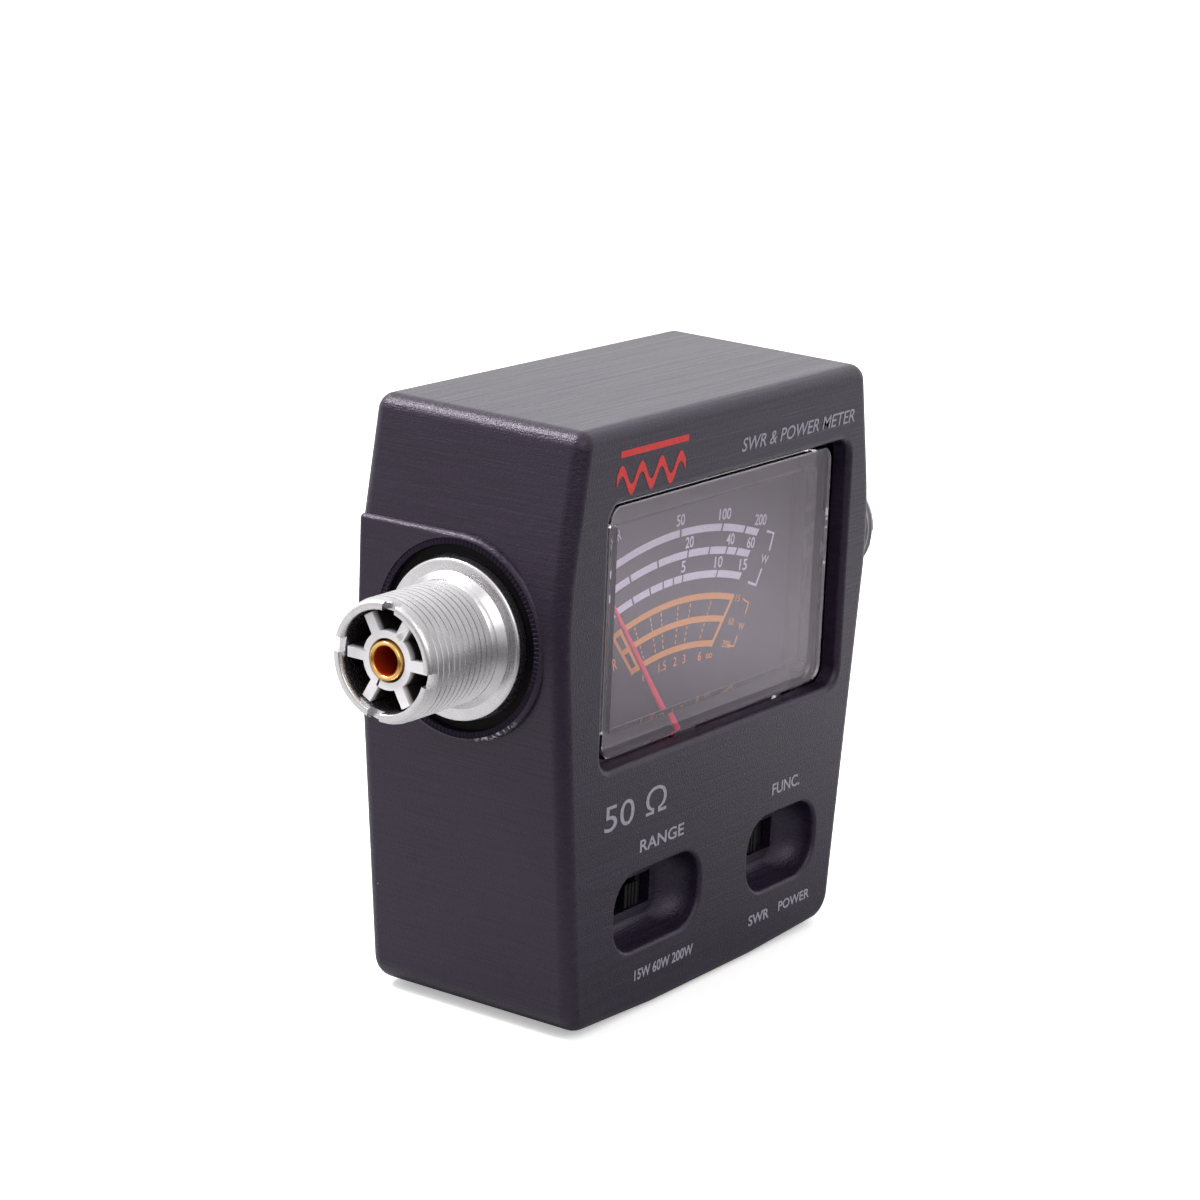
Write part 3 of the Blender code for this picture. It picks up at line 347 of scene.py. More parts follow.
class Nodes:
    """A small builder for one material's node tree."""

    def __init__(self, name):
        self.material = bpy.data.materials.new(name)
        self.material.use_nodes = True
        self.tree = self.material.node_tree
        self.shader = self.tree.nodes["Principled BSDF"]
        self.output = self.tree.nodes["Material Output"]
        places = self.add("ShaderNodeTexCoord").outputs
        self.coords = places["Object"]
        self.normals = places["Normal"]

    def add(self, kind, **inputs):
        node = self.tree.nodes.new(kind)
        for key, value in inputs.items():
            self.put(node.inputs[key.replace("_", " ")], value)
        return node

    def put(self, socket, value):
        if isinstance(value, bpy.types.NodeSocket):
            self.tree.links.new(value, socket)
        elif isinstance(value, (tuple, list)) and len(value) == 3 and socket.type == "RGBA":
            socket.default_value = (*value, 1.0)
        else:
            socket.default_value = value

    def set(self, **inputs):
        for key, value in inputs.items():
            self.put(self.shader.inputs[key.replace("_", " ")], value)
        return self

    def math(self, operation, a, b=0.0):
        node = self.tree.nodes.new("ShaderNodeMath")
        node.operation = operation
        self.put(node.inputs[0], a)
        self.put(node.inputs[1], b)
        return node.outputs[0]

    def times(self, a, b):
        return self.math("MULTIPLY", a, b)

    def plus(self, a, b):
        return self.math("ADD", a, b)

    def noise(self, scale, detail=3.0, roughness=0.55, vector=None, stretch=(1, 1, 1)):
        mapping = self.add("ShaderNodeMapping", Vector=vector or self.coords, Scale=stretch)
        node = self.add("ShaderNodeTexNoise", Vector=mapping.outputs[0], Scale=scale, Detail=detail)
        self.put(node.inputs["Roughness"], roughness)
        return node.outputs["Fac"]

    def ramp(self, value, low, high, a=0.0, b=1.0):
        node = self.add("ShaderNodeMapRange")
        self.put(node.inputs["Value"], value)
        for key, number in (("From Min", low), ("From Max", high), ("To Min", a), ("To Max", b)):
            self.put(node.inputs[key], number)
        return node.outputs["Result"]

    def blend(self, factor, a, b):
        """A number that goes from a to b as the factor goes from 0 to 1."""
        return self.plus(a, self.times(factor, self.math("SUBTRACT", b, a)))

    def mix(self, factor, a, b):
        node = self.tree.nodes.new("ShaderNodeMix")
        node.data_type = "RGBA"
        self.put(node.inputs[0], factor)
        self.put(node.inputs[6], a)
        self.put(node.inputs[7], b)
        return node.outputs[2]

    def bump(self, height, strength, distance):
        node = self.add("ShaderNodeBump", Strength=strength, Distance=distance, Height=height)
        self.put(self.shader.inputs["Normal"], node.outputs["Normal"])

    def split(self, vector=None):
        node = self.add("ShaderNodeSeparateXYZ", Vector=vector or self.coords)
        return node.outputs

    def radius(self, centre_y, centre_z):
        """Distance from a line along X."""
        axes = self.split()
        y = self.math("SUBTRACT", axes[1], centre_y)
        z = self.math("SUBTRACT", axes[2], centre_z)
        return self.math("SQRT", self.plus(self.times(y, y), self.times(z, z)))


def case_paint():
    """Dark brushed paint: streaks along X on top and front, along Y on the sides, dust and a few chips."""
    n = Nodes("case_paint_finish")
    facing = n.math("ABSOLUTE", n.split(n.normals)[0])
    side = n.ramp(facing, 0.55, 0.85)
    lines = n.noise(1.0, 3.0, 0.65, stretch=(60, 2300, 2300))
    long_lines = n.noise(1.0, 2.0, 0.5, stretch=(16, 900, 900))
    streak = n.plus(n.times(lines, 0.6), n.times(long_lines, 0.4))
    side_lines = n.noise(1.0, 2.0, 0.6, stretch=(2600, 90, 3800))
    streak = n.blend(side, streak, n.plus(n.times(side_lines, 0.5), 0.25))
    grain = n.noise(3600.0, 2.0, 0.6)
    cloud = n.noise(45.0, 2.0, 0.5)
    fibre = n.plus(n.times(streak, 0.7), n.times(grain, 0.3))
    light = n.ramp(fibre, 0.40, 0.62)
    base = n.mix(light, PAINT_DARK, PAINT_LIGHT)
    base = n.mix(n.ramp(cloud, 0.35, 0.7, 0.0, 0.3), base, PAINT_LIGHT)
    # small pale specks of dust
    speck = n.add("ShaderNodeTexVoronoi", Vector=n.coords, Scale=330.0)
    near = n.ramp(speck.outputs["Distance"], 0.02, 0.055, 1.0, 0.0)
    rare = n.ramp(n.noise(160.0, 1.0, 0.5), 0.66, 0.70)
    dust = n.times(near, rare)
    # worn paint along the lower front of each boss's rim
    axes = n.split()
    distance = n.radius(SOCKET_Y * MM, SOCKET_Z * MM)
    rim = n.ramp(n.math("ABSOLUTE", n.math("SUBTRACT", distance, 13.0 * MM)), 0.1 * MM, 0.5 * MM, 1.0, 0.0)
    low = n.ramp(axes[2], 0.0418, 0.0430, 1.0, 0.0)
    ahead = n.ramp(axes[1], -0.0045, -0.0035, 1.0, 0.0)
    proud = n.ramp(n.math("ABSOLUTE", axes[0]), 0.0355, 0.0358)
    chips = n.ramp(n.noise(1500.0, 2.0, 0.7), 0.50, 0.56)
    area = n.times(n.times(rim, low), ahead)
    worn = n.times(area, n.times(proud, chips))
    marks = n.math("MAXIMUM", dust, worn)
    n.set(Base_Color=n.mix(marks, base, (0.42, 0.40, 0.43)))
    rough = n.plus(n.times(streak, 0.30), n.times(grain, 0.14))
    n.set(Roughness=n.plus(0.14, rough))
    n.set(IOR=PAINT_IOR, Metallic=0.0)
    height = n.plus(streak, n.times(grain, 0.5))
    n.bump(height, 0.9, 0.00014)
    n.set(Specular_Tint=(0.95, 0.83, 1.0))
    return n.material


def plated(name, color, roughness=0.2, centre=(SOCKET_Y, SOCKET_Z), strength=0.12):
    """Turned and plated metal: fine rings from the tool, small stains and scratches."""
    n = Nodes(name)
    axes = n.split()
    rings = n.add("ShaderNodeCombineXYZ", X=axes[0], Y=n.radius(centre[0] * MM, centre[1] * MM)).outputs[0]
    ring = n.noise(5200.0, 2.0, 0.5, vector=rings)
    stain = n.noise(420.0, 4.0, 0.6)
    fine = n.noise(2600.0, 3.0, 0.6)
    dark = tuple(c * 0.75 for c in color)
    tone = n.ramp(stain, 0.35, 0.7)
    n.set(Base_Color=n.mix(n.times(tone, 0.4), color, dark), Metallic=1.0)
    texture = n.plus(n.times(ring, 0.12), n.times(fine, 0.10))
    n.set(Roughness=n.plus(roughness, texture))
    n.bump(n.plus(ring, n.times(fine, 0.4)), strength, 0.00004)
    return n.material


def moulded(name, color, other, roughness=0.45, scale=2500.0, strength=0.1, **more):
    """Moulded plastic or coated board: faint colour drift, fine texture in bump and roughness."""
    n = Nodes(name)
    cloud = n.noise(160.0, 3.0, 0.5)
    grain = n.noise(scale, 3.0, 0.6)
    n.set(Base_Color=n.mix(n.ramp(cloud, 0.35, 0.7), color, other))
    n.set(Roughness=n.plus(roughness - 0.06, n.times(grain, 0.14)))
    n.bump(grain, strength, 0.00003)
    return n.set(**more).material


def contact_gold():
    """Gold plating that turns copper red inside the contact's bore."""
    n = Nodes("contact_gold_finish")
    fine = n.noise(2600.0, 3.0, 0.6)
    bore = n.ramp(n.radius(SOCKET_Y * MM, SOCKET_Z * MM), 1.95 * MM, 2.02 * MM, 1.0, 0.0)
    deep = n.ramp(n.math("ABSOLUTE", n.split()[0]), 0.0503, 0.0505, 1.0, 0.0)
    inside = n.times(bore, deep)
    n.set(Base_Color=n.mix(inside, (0.90, 0.56, 0.18), (0.42, 0.035, 0.008)))
    n.set(Metallic=n.ramp(inside, 0.0, 1.0, 1.0, 0.35))
    n.set(Roughness=n.plus(0.14, n.times(fine, 0.12)))
    n.bump(fine, 0.1, 0.00003)
    return n.material


def ribbed_ring_and_painted_shade():
    """Painted shade in the sunk band round the flange, which is painted near black, and a dark ribbed band
    outside it.
    """
    n = Nodes("ribbed_ring_and_painted_shade")
    grain = n.noise(3200.0, 3.0, 0.6)
    # painted shade: inside RING_STEP the sunk band is painted near black
    outer = n.ramp(n.radius(SOCKET_Y * MM, SOCKET_Z * MM), RING_STEP * MM, (RING_STEP + 0.1) * MM)
    ribbed = n.mix(grain, (0.010, 0.006, 0.014), (0.02, 0.013, 0.028))
    n.set(Base_Color=n.mix(outer, (0.001, 0.001, 0.001), ribbed))
    n.set(Roughness=n.plus(0.40, n.times(grain, 0.14)), IOR=1.18)
    n.bump(grain, 0.2, 0.00003)
    return n.material


def insulator_plastic():
    """Pale moulding with painted shade: below the mouths of its pockets the colour is painted near black."""
    n = Nodes("insulator_plastic")
    grain = n.noise(2600.0, 3.0, 0.6)
    # painted shade: deeper than 49 mm from the middle, inside the pockets, the colour turns near black
    depth = n.ramp(n.math("ABSOLUTE", n.split()[0]), 0.0490, 0.0500)
    base = n.mix(n.ramp(n.noise(400.0, 3.0, 0.5), 0.35, 0.7), (0.93, 0.90, 0.93), (0.86, 0.83, 0.86))
    n.set(Base_Color=n.mix(depth, (0.022, 0.014, 0.013), base))
    n.set(Roughness=n.plus(0.36, n.times(grain, 0.14)))
    n.bump(grain, 0.12, 0.00003)
    return n.material


def ink(name, color, roughness=0.5):
    n = Nodes(name)
    wear = n.noise(3000.0, 3.0, 0.65)
    darker = tuple(c * 0.72 for c in color)
    n.set(Base_Color=n.mix(n.ramp(wear, 0.4, 0.75), color, darker))
    n.set(Roughness=n.plus(roughness, n.times(wear, 0.1)))
    return n.material


def clear_plastic():
    """Clear moulding that lets lamps through."""
    n = Nodes("clear_cover")
    haze = n.noise(900.0, 3.0, 0.6)
    n.set(Base_Color=(0.965, 0.925, 0.975), IOR=1.49, Transmission_Weight=1.0)
    n.set(Specular_Tint=(1.0, 0.86, 1.0))
    n.set(Roughness=n.ramp(haze, 0.4, 0.8, 0.0, 0.006))
    clear = n.add("ShaderNodeBsdfTransparent", Color=(0.95, 0.92, 0.96))
    path = n.add("ShaderNodeLightPath")
    mixed = n.tree.nodes.new("ShaderNodeMixShader")
    n.put(mixed.inputs[0], path.outputs["Is Shadow Ray"])
    n.put(mixed.inputs[1], n.shader.outputs[0])
    n.put(mixed.inputs[2], clear.outputs[0])
    n.put(n.output.inputs["Surface"], mixed.outputs[0])
    return n.material


PAINT_DARK, PAINT_LIGHT, PAINT_IOR = (0.0062, 0.0039, 0.0098), (0.0182, 0.0116, 0.0280), 1.49
PAINT = case_paint()
NICKEL = plated("nickel_plate_finish", (0.74, 0.72, 0.735), 0.17, strength=0.05)
# A darker copy of the nickel, as painted shade, for the right socket
SHADED_NICKEL = plated("nickel_painted_shade_copy", (0.50, 0.49, 0.51), 0.24)
CONTACT_GOLD = contact_gold()
STEEL = plated("zinc_steel_finish", (0.55, 0.55, 0.56), 0.26, (0, 40))
BRASS_METAL = plated("brass_finish", (0.72, 0.52, 0.24), 0.28, (0, PIVOT_Z))
ALUMINIUM = plated("aluminium_finish", (0.76, 0.76, 0.77), 0.34, (0, PIVOT_Z))
PALE = insulator_plastic()
BLACK = moulded("black_moulding", (0.010, 0.009, 0.011), (0.018, 0.016, 0.02), 0.42)
RING = ribbed_ring_and_painted_shade()
KNOB = moulded("knob_moulding", (0.004, 0.0035, 0.0045), (0.008, 0.007, 0.009), 0.55, 2500.0, 0.1, IOR=1.30)
DIAL = moulded("dial_paint_finish", (0.064, 0.047, 0.071), (0.075, 0.056, 0.083), 0.6, 5200.0, 0.12)
WHITE_INK = ink("white_ink", (0.90, 0.85, 1.0))
ORANGE_INK = ink("orange_ink", (1.0, 0.42, 0.10))
GREY_INK = ink("grey_ink", (0.33, 0.32, 0.38))
RED_INK = ink("red_ink", (0.70, 0.028, 0.025))
NEEDLE_RED = ink("needle_paint", (1.0, 0.05, 0.12), 0.4)
CLEAR = clear_plastic()
MAGNET = moulded("magnet_finish", (0.10, 0.10, 0.105), (0.16, 0.16, 0.165), 0.45, 2000.0, 0.2, Metallic=1.0)
COPPER = moulded("winding_finish", (0.55, 0.20, 0.08), (0.68, 0.28, 0.12), 0.35, 6000.0, 0.4, Metallic=1.0)
JEWEL = moulded("jewel_finish", (0.45, 0.01, 0.06), (0.55, 0.02, 0.08), 0.15, 2000.0, 0.02)
BOARD = moulded("board_finish", (0.02, 0.10, 0.04), (0.03, 0.13, 0.05), 0.4, 3500.0, 0.2)
CERAMIC = moulded("ceramic_finish", (0.42, 0.34, 0.25), (0.48, 0.39, 0.30), 0.4, 2500.0, 0.15)
WIRE_SKIN = moulded("wire_skin", (0.40, 0.03, 0.03), (0.45, 0.05, 0.04), 0.4, 2500.0, 0.1)


# ---- case

def along_x(sign, near, far):
    """Two distances from the middle as ends along X, on the side that the sign says."""
    return sorted((sign * near, sign * far))


def make_housing():
    back = case_outline(0.0, 0.0)
    front = [(x * FRONT_SCALE, z * FRONT_SCALE) for x, z in back]
    case = loft("case_shell", [(CASE_FRONT, front), (CASE_BACK, back)])
    bevel(case, CASE_EDGE, 8)
    for sign in (-1, 1):
        boss = prism_x("boss", boss_outline(BOSS_R), *along_x(sign, 27.0, BOSS_X))
        bevel(boss, BOSS_EDGE, 5)
        boolean(case, boss, "UNION")
    inside = case_outline(CASE_WALL, CASE_SIDE_WALL)
    boolean(case, loft("cavity", [(y, inside) for y in (CASE_FRONT_INNER, CASE_BACK + 1)]))
    for middle_x, half_x, _ in RECESSES.values():
        wide, high = half_x + RECESS_WALL, RECESS_HALF_Z + RECESS_WALL
        outline = rounded_rectangle(middle_x, RECESS_Z, wide, high, 5.0)
        boolean(case, loft("block", [(y, outline) for y in RECESS_BLOCK]), "UNION")
    steps = [(CASE_FRONT - 0.5, -1.2)]
    for step in range(6):
        t = math.radians(90 * step / 5)
        steps.append((CASE_FRONT + WINDOW_LIP * (1 - math.cos(t)), -WINDOW_LIP * (1 - math.sin(t))))
    steps.append((WINDOW_DEEP_Y, 0.0))
    boolean(case, loft("window", [(y, inset(WINDOW, less, 0.3, 8)) for y, less in steps]))
    for middle_x, half_x, slot_half in RECESSES.values():
        boolean(case, loft("recess", recess_sections(middle_x, half_x)))
        low = (middle_x - slot_half, SLOT_FRONT, RECESS_Z - SLOT_HALF_Z)
        high = (middle_x + slot_half, SLOT_BACK, RECESS_Z + SLOT_HALF_Z)
        boolean(case, box("slot", low, high))
    for axis in ("-X", "+X"):
        for radius, low, high, count in SOCKET_CUTS:
            boolean(case, disc(axis, SOCKET_ORIGIN, radius, low, high, count))
    settle(case, 32)
    finish(case, "case", PAINT, "case_paint", "front_housing")


def make_rear():
    outline = case_outline(REAR_LESS, REAR_SIDE_LESS)
    plate = loft("rear_plate", [(REAR_FRONT, outline), (REAR_BACK, outline)])
    bevel(plate, 0.3, 3)
    settle(plate)
    finish(plate, "case", PAINT, "case_paint", "rear_cover")


make_housing()
make_rear()


# ---- sockets

# One pitch of the thread: (distance along it, depth of the groove there)
TOOTH = ((0.0, 0.0), (0.13, 0.0), (0.46, 1.0), (0.73, 1.0))


def barrel_profile():
    """Points (radius, height, groove) of the barrel's section; groove goes from 0 on a crest to 1."""
    tip = SOCKET_TIP
    points = [(7.30, tip, 0), (7.44, tip - 0.06, 0), (LEAD_R, THREAD_HIGH, 0)]
    turns = int((THREAD_HIGH - THREAD_LOW) / THREAD_PITCH) + 2
    for turn in range(turns):
        for along, groove in TOOTH:
            points.append((THREAD_R, THREAD_HIGH - turn * THREAD_PITCH - along, groove))
    points += [(7.45, THREAD_LOW, 0), (7.45, FLANGE_FACE + 0.02, 0), (7.9, FLANGE_FACE, 0)]
    points += [(9.95, FLANGE_FACE, 0), (10.2, FLANGE_FACE - 0.05, 0)]
    points += [(FLANGE_R - 0.06, FLANGE_FACE - 0.18, 0), (FLANGE_R, FLANGE_FACE - 0.4, 0)]
    points += [(FLANGE_R, FLANGE_BACK, 0), (THREAD_R, FLANGE_BACK, 0)]
    points += [(THREAD_R, 30.4, 0), (BORE_R, 30.4, 0), (BORE_R, tip - 1.1, 0), (BORE_R, tip - 0.15, 0)]
    return points + [(BORE_R + 0.12, tip - 0.02, 0), (BORE_R + 0.25, tip, 0)]


def make_thread(name, axis, origin, count=160):
    """The barrel, with a helical thread that runs out at both ends."""
    profile = barrel_profile()
    grooves = {(r, h): groove for r, h, groove in profile}

    def spiral(radius, height, angle):
        groove = grooves[(radius, height)]
        if radius != THREAD_R or height < THREAD_LOW - 3 * THREAD_PITCH:
            return radius, height
        height = height + THREAD_PITCH * (1 - angle / (2 * math.pi))
        height = min(THREAD_HIGH, max(THREAD_LOW, height))
        lead = min(1.0, (THREAD_HIGH - height) / LEAD_LONG)
        crest = LEAD_R + (THREAD_R - LEAD_R) * lead
        runout = min(1.0, (height - THREAD_LOW) / RUNOUT_LONG)
        root = THREAD_R - THREAD_DEEP
        return crest + (root - crest) * groove * min(lead + 0.3, 1.0) * runout, height
    return lathe(name, axis, origin, [(r, h) for r, h, _ in profile], count, spiral, spiral=True)


def flange_notch(inner, outer, steps=12):
    """The sector that the flange lacks, from straight down towards the rear, as a (y, z) outline."""
    outline = []
    for radius, order in ((inner, range(steps + 1)), (outer, range(steps, -1, -1))):
        for step in order:
            angle = math.radians(FLANGE_NOTCH_START + FLANGE_NOTCH_SWEEP * step / steps)
            outline.append((SOCKET_Y + radius * math.cos(angle), SOCKET_Z + radius * math.sin(angle)))
    return outline


def make_socket(side, axis, sign):
    barrel = make_thread(side + "_barrel", axis, SOCKET_ORIGIN)
    low, high = along_x(sign, SOCKET_TIP - NOTCH_DEEP, SOCKET_TIP + 1)
    for index in range(4):
        notch = box("notch", (low, NOTCH_IN, -NOTCH_HALF), (high, NOTCH_OUT, NOTCH_HALF))
        turn(notch, 90 * index + NOTCH_TURN)
        boolean(barrel, notch)
    ends = along_x(sign, FLANGE_BACK - 1.0, FLANGE_FACE + 0.1)
    boolean(barrel, prism_x("notch", flange_notch(8.3, FLANGE_R + 1), *ends))
    settle(barrel, 50, weighted=False)
    # the right socket gets the darker nickel copy, which is painted shade
    plating = NICKEL if side == "left" else SHADED_NICKEL
    finish(barrel, "case", plating, "nickel_plate", side + "_connector_body")
    make_insulator(side, axis, sign)
    make_contact(side, axis)
    make_ribbed_ring(side, axis)


def turn(obj, degrees):
    """Turns a mesh made round the origin about X and moves it onto the sockets' axis."""
    spin = Matrix.Rotation(math.radians(degrees), 4, "X")
    obj.data.transform(Matrix.Translation(Vector(SOCKET_ORIGIN) * MM) @ spin)


def make_contact(side, axis):
    """Tube with a rounded mouth, closed behind its bore."""
    tip = SOCKET_TIP
    profile = [(2.0, tip - 0.80), (2.15, tip - 0.72), (2.34, tip - 0.78), (2.46, tip - 0.92)]
    profile += [(2.5, tip - 1.12), (2.5, 31.6), (1.4, 31.2), (1.4, 28.3), (0, 28.3), (0, 38.0)]
    profile += [(1.8, 38.6), (1.8, tip - 1.3), (1.86, tip - 0.95)]
    contact = lathe(side + "_contact_tube", axis, SOCKET_ORIGIN, profile, 72)
    settle(contact, 40, weighted=False)
    finish(contact, "case", CONTACT_GOLD, "gold_plate", side + "_contact")


def make_insulator(side, axis, sign):
    """Hub with six spokes that reach the barrel's bore, and a solid back deep behind the pockets."""
    face = SOCKET_TIP - 1.2
    core = disc(axis, SOCKET_ORIGIN, HUB_R, 31.6, face, 72)
    core.name = side + "_insulator_moulding"
    boolean(core, disc(axis, SOCKET_ORIGIN, 6.2, 31.6, face - POCKET_DEEP, 72), "UNION")
    low, high = along_x(sign, face, face - POCKET_DEEP - 0.3)
    for index in range(3):
        spoke = box("spoke", (low, -SPOKE_LONG, -SPOKE_HALF), (high, SPOKE_LONG, SPOKE_HALF))
        turn(spoke, 60 * index)
        boolean(core, spoke, "UNION")
    boolean(core, disc(axis, SOCKET_ORIGIN, HUB_BORE, 28, 53, 72))
    bevel(core, 0.14, 3, 50)
    settle(core, 40)
    finish(core, "case", PALE, "pale_plastic", side + "_insulator")


def make_ribbed_ring(side, axis):
    """Black ring round the flange: a sunk inner band and an outer one with fine ribs."""
    low, high = BOSS_X - 0.95, BOSS_X - 0.02
    profile = [(RING_IN, low), (RING_IN, high - 0.75), (RING_STEP, high - 0.75), (RING_STEP + 0.1, high)]
    profile += [(RING_OUT - 0.05, high), (RING_OUT, high - 0.1), (RING_OUT, low)]
    angles = []
    for i in range(RING_RIBS):
        angles += [2 * math.pi * (i + k) / RING_RIBS for k in (0.0, 0.34, 0.5, 0.84)]

    def ribs(radius, height, angle):
        place = (angle * RING_RIBS / (2 * math.pi)) % 1.0
        if height == high and 0.45 < place < 0.9:
            height -= 0.09
        return radius, height
    ring = lathe(side + "_ribbed_ring", axis, SOCKET_ORIGIN, profile, 0, ribs, angles)
    settle(ring, 40, weighted=False)
    finish(ring, "case", RING)


make_socket("left", "-X", -1)
make_socket("right", "+X", 1)


# ---- meter

def make_cover():
    """Clear lid with a raised, stepped face whose front edge is rounded."""
    x, z, half_x, half_z = WINDOW["x"], COVER_Z, COVER_HALF, COVER_HALF_Z
    lid = rounded_rectangle(x, z, half_x, half_z, 2.0)
    cover = loft("cover_moulding", [(y, lid) for y in (LID_FRONT, COVER_BACK)])
    hollow = rounded_rectangle(x, z, half_x - COVER_WALL, half_z - COVER_WALL, 1.2)
    boolean(cover, loft("hollow", [(LID_BACK, hollow), (COVER_BACK + 1, hollow)]))
    steps = []
    for step in range(9):
        t = math.radians(90 * step / 8)
        steps.append((FACE_FRONT + FACE_BEVEL_DEEP * (1 - math.cos(t)), FACE_BEVEL * (1 - math.sin(t))))
    steps.append((LID_FRONT + 0.5, 0.0))
    boolean(cover, loft("face", [(y, inset(FACE, less, 0.5, 10)) for y, less in steps]), "UNION")
    inner = inset(FACE, FACE_RIM, 0.5, 10)
    boolean(cover, loft("face_hollow", [(y, inner) for y in (FACE_BACK, LID_BACK + 0.5)]))
    settle(cover, 30)
    finish(cover, "case", CLEAR, "clear_plastic", "meter_cover")


def strip(name, paths, y, width, material):
    """Flat printed lines: each path is [(x, z), ...]."""
    shape = bmesh.new()
    for path in paths:
        sides = []
        for i, (x, z) in enumerate(path):
            before = Vector(path[max(i - 1, 0)])
            after = Vector(path[min(i + 1, len(path) - 1)])
            along = (after - before).normalized()
            across = Vector((-along.y, along.x)) * width / 2
            sides.append(((x + across.x, z + across.y), (x - across.x, z - across.y)))
        add_band(shape, sides, y)
    obj = shape_to_object(name, shape)
    return finish(obj, "case", material)


def add_band(shape, sides, y):
    """Closed thin band through pairs of (x, z) points."""
    rows = []
    for pair in sides:
        row = [shape.verts.new((x * MM, (y - t) * MM, z * MM)) for t in (0.0, PRINT_THICK) for x, z in pair]
        rows.append(row)
    for a, b in zip(rows, rows[1:]):
        for i, j in ((0, 1), (1, 3), (3, 2), (2, 0)):
            shape.faces.new((a[i], a[j], b[j], b[i]))
    for row in (rows[0], rows[-1]):
        shape.faces.new((row[0], row[1], row[3], row[2]))


def on_arc(radius, degrees):
    """The point of a dial arc that the needle's direction meets at this many degrees."""
    t = math.radians(degrees)
    dx, dz = math.sin(t), math.cos(t)
    ox, oz = -ARC_X, PIVOT_Z - ARC_Z
    b = ox * dx + oz * dz
    reach = -b + math.sqrt(b * b - (ox * ox + oz * oz - radius * radius))
    return reach * dx, PIVOT_Z + reach * dz


def pivot_angle(radius, about_centre):
    """The needle's degrees for a point given by its degrees on the dial arcs' own circle."""
    t = math.radians(about_centre)
    x, z = ARC_X + radius * math.sin(t), ARC_Z + radius * math.cos(t)
    return math.degrees(math.atan2(x, z - PIVOT_Z))


def arcs(name, rows, material):
    """Arc bands [(radius, thickness, start, stop, [gaps])], all in the needle's degrees."""
    shape = bmesh.new()
    for radius, thick, start, stop, gaps in rows:
        ends = [start] + [g + s for g in gaps for s in (-0.42, 0.42)] + [stop]
        for a, b in zip(ends[::2], ends[1::2]):
            count = max(2, int((b - a) / 1.2))
            sides = []
            for i in range(count + 1):
                t = a + (b - a) * i / count
                sides.append((on_arc(radius + thick / 2, t), on_arc(radius - thick / 2, t)))
            add_band(shape, sides, DIAL_PRINT_Y)
    obj = shape_to_object(name, shape)
    return finish(obj, "case", material)


def text(name, words, centre, height, material, y=DIAL_PRINT_Y, width=None, tilt=0.0, bold=0.0, shear=0.0):
    """Raised print facing the front; height is that of its capitals or digits in millimetres."""
    curve = bpy.data.curves.new(name, "FONT")
    curve.body = words
    curve.extrude = 0.02
    curve.offset = bold
    curve.shear = shear
    curve.resolution_u = 4
    holder = link("holder", curve)
    bpy.context.view_layer.update()
    mesh = bpy.data.meshes.new_from_object(holder.evaluated_get(bpy.context.evaluated_depsgraph_get()))
    bpy.data.objects.remove(holder)
    lows = [min(v.co[k] for v in mesh.vertices) for k in range(3)]
    highs = [max(v.co[k] for v in mesh.vertices) for k in range(3)]
    sizes = [b - a for a, b in zip(lows, highs)]
    scale_z = height / sizes[1]
    scale_x = width / sizes[0] if width else scale_z
    t = math.radians(tilt)
    for v in mesh.vertices:
        u = (v.co.x - (lows[0] + highs[0]) / 2) * scale_x
        w = (v.co.y - (lows[1] + highs[1]) / 2) * scale_z
        depth = (v.co.z - lows[2]) / sizes[2] * PRINT_THICK
        x = centre[0] + u * math.cos(t) - w * math.sin(t)
        z = centre[1] + u * math.sin(t) + w * math.cos(t)
        v.co = (x * MM, (y - depth) * MM, z * MM)
    shape = bmesh.new()
    shape.from_mesh(mesh)
    bmesh.ops.remove_doubles(shape, verts=shape.verts, dist=1e-6)
    obj = shape_to_object(name, shape)
    return finish(obj, "case", material)


def merge(name, parts):
    """Joins several pieces of print into one."""
    shape = bmesh.new()
    for part in parts:
        shape.from_mesh(part.data)
    material = parts[0].data.materials[0]
    for part in parts:
        bpy.data.objects.remove(part)
    obj = shape_to_object(name, shape)
    return finish(obj, "case", material)


# (radius, end, [gaps for the figures]), with end and gaps in degrees on the arcs' own circle
WHITE_SCALES = (
    (59.4, 18.9, (0.43, 10.06, 15.63)),
    (56.3, 17.9, (-11.0, -4.62, 2.43, 7.65, 11.98, 14.56)),
    (53.1, 16.9, (-10.8, -6.57, -3.33, -0.82, 1.5, 10.4)),
)
ORANGE_SCALES = ((50.1, 0.0), (47.0, 0.6), (43.6, 1.2))
TICK_ROWS = ((49.4, 48.9), (48.6, 48.2), (47.9, 47.5), (46.4, 46.0), (45.6, 45.2), (44.8, 44.3))
# (words, degrees, radius)
WHITE_FIGURES = (
    ("50", 0.34, 61.2), ("100", 10.3, 61.2), ("200", 18.9, 61.2),
    ("20", 2.65, 57.85), ("40", 12.5, 57.85), ("60", 17.75, 57.85),
    ("5", 1.54, 54.7), ("10", 10.4, 54.7), ("15", 17.0, 54.7),
)
SWR_FIGURES = (("1", -9.4), ("1.5", -3.4), ("2", 0.62), ("3", 3.56), ("6", 8.7), ("∞", 11.9))
RANGE_FIGURES = (("15", (15.3, 48.6)), ("60", (13.9, 45.6)), ("200", (12.9, 42.6)), ("W", (16.4, 44.4)))


def scale_figure(words, about, radius, height, material, **more):
    """A figure on an arc, tilted half as far as the arc is there."""
    t = math.radians(about)
    where = (ARC_X + radius * math.sin(t), ARC_Z + radius * math.cos(t))
    return text("label", words, where, height, material, tilt=-about * 0.5, **more)


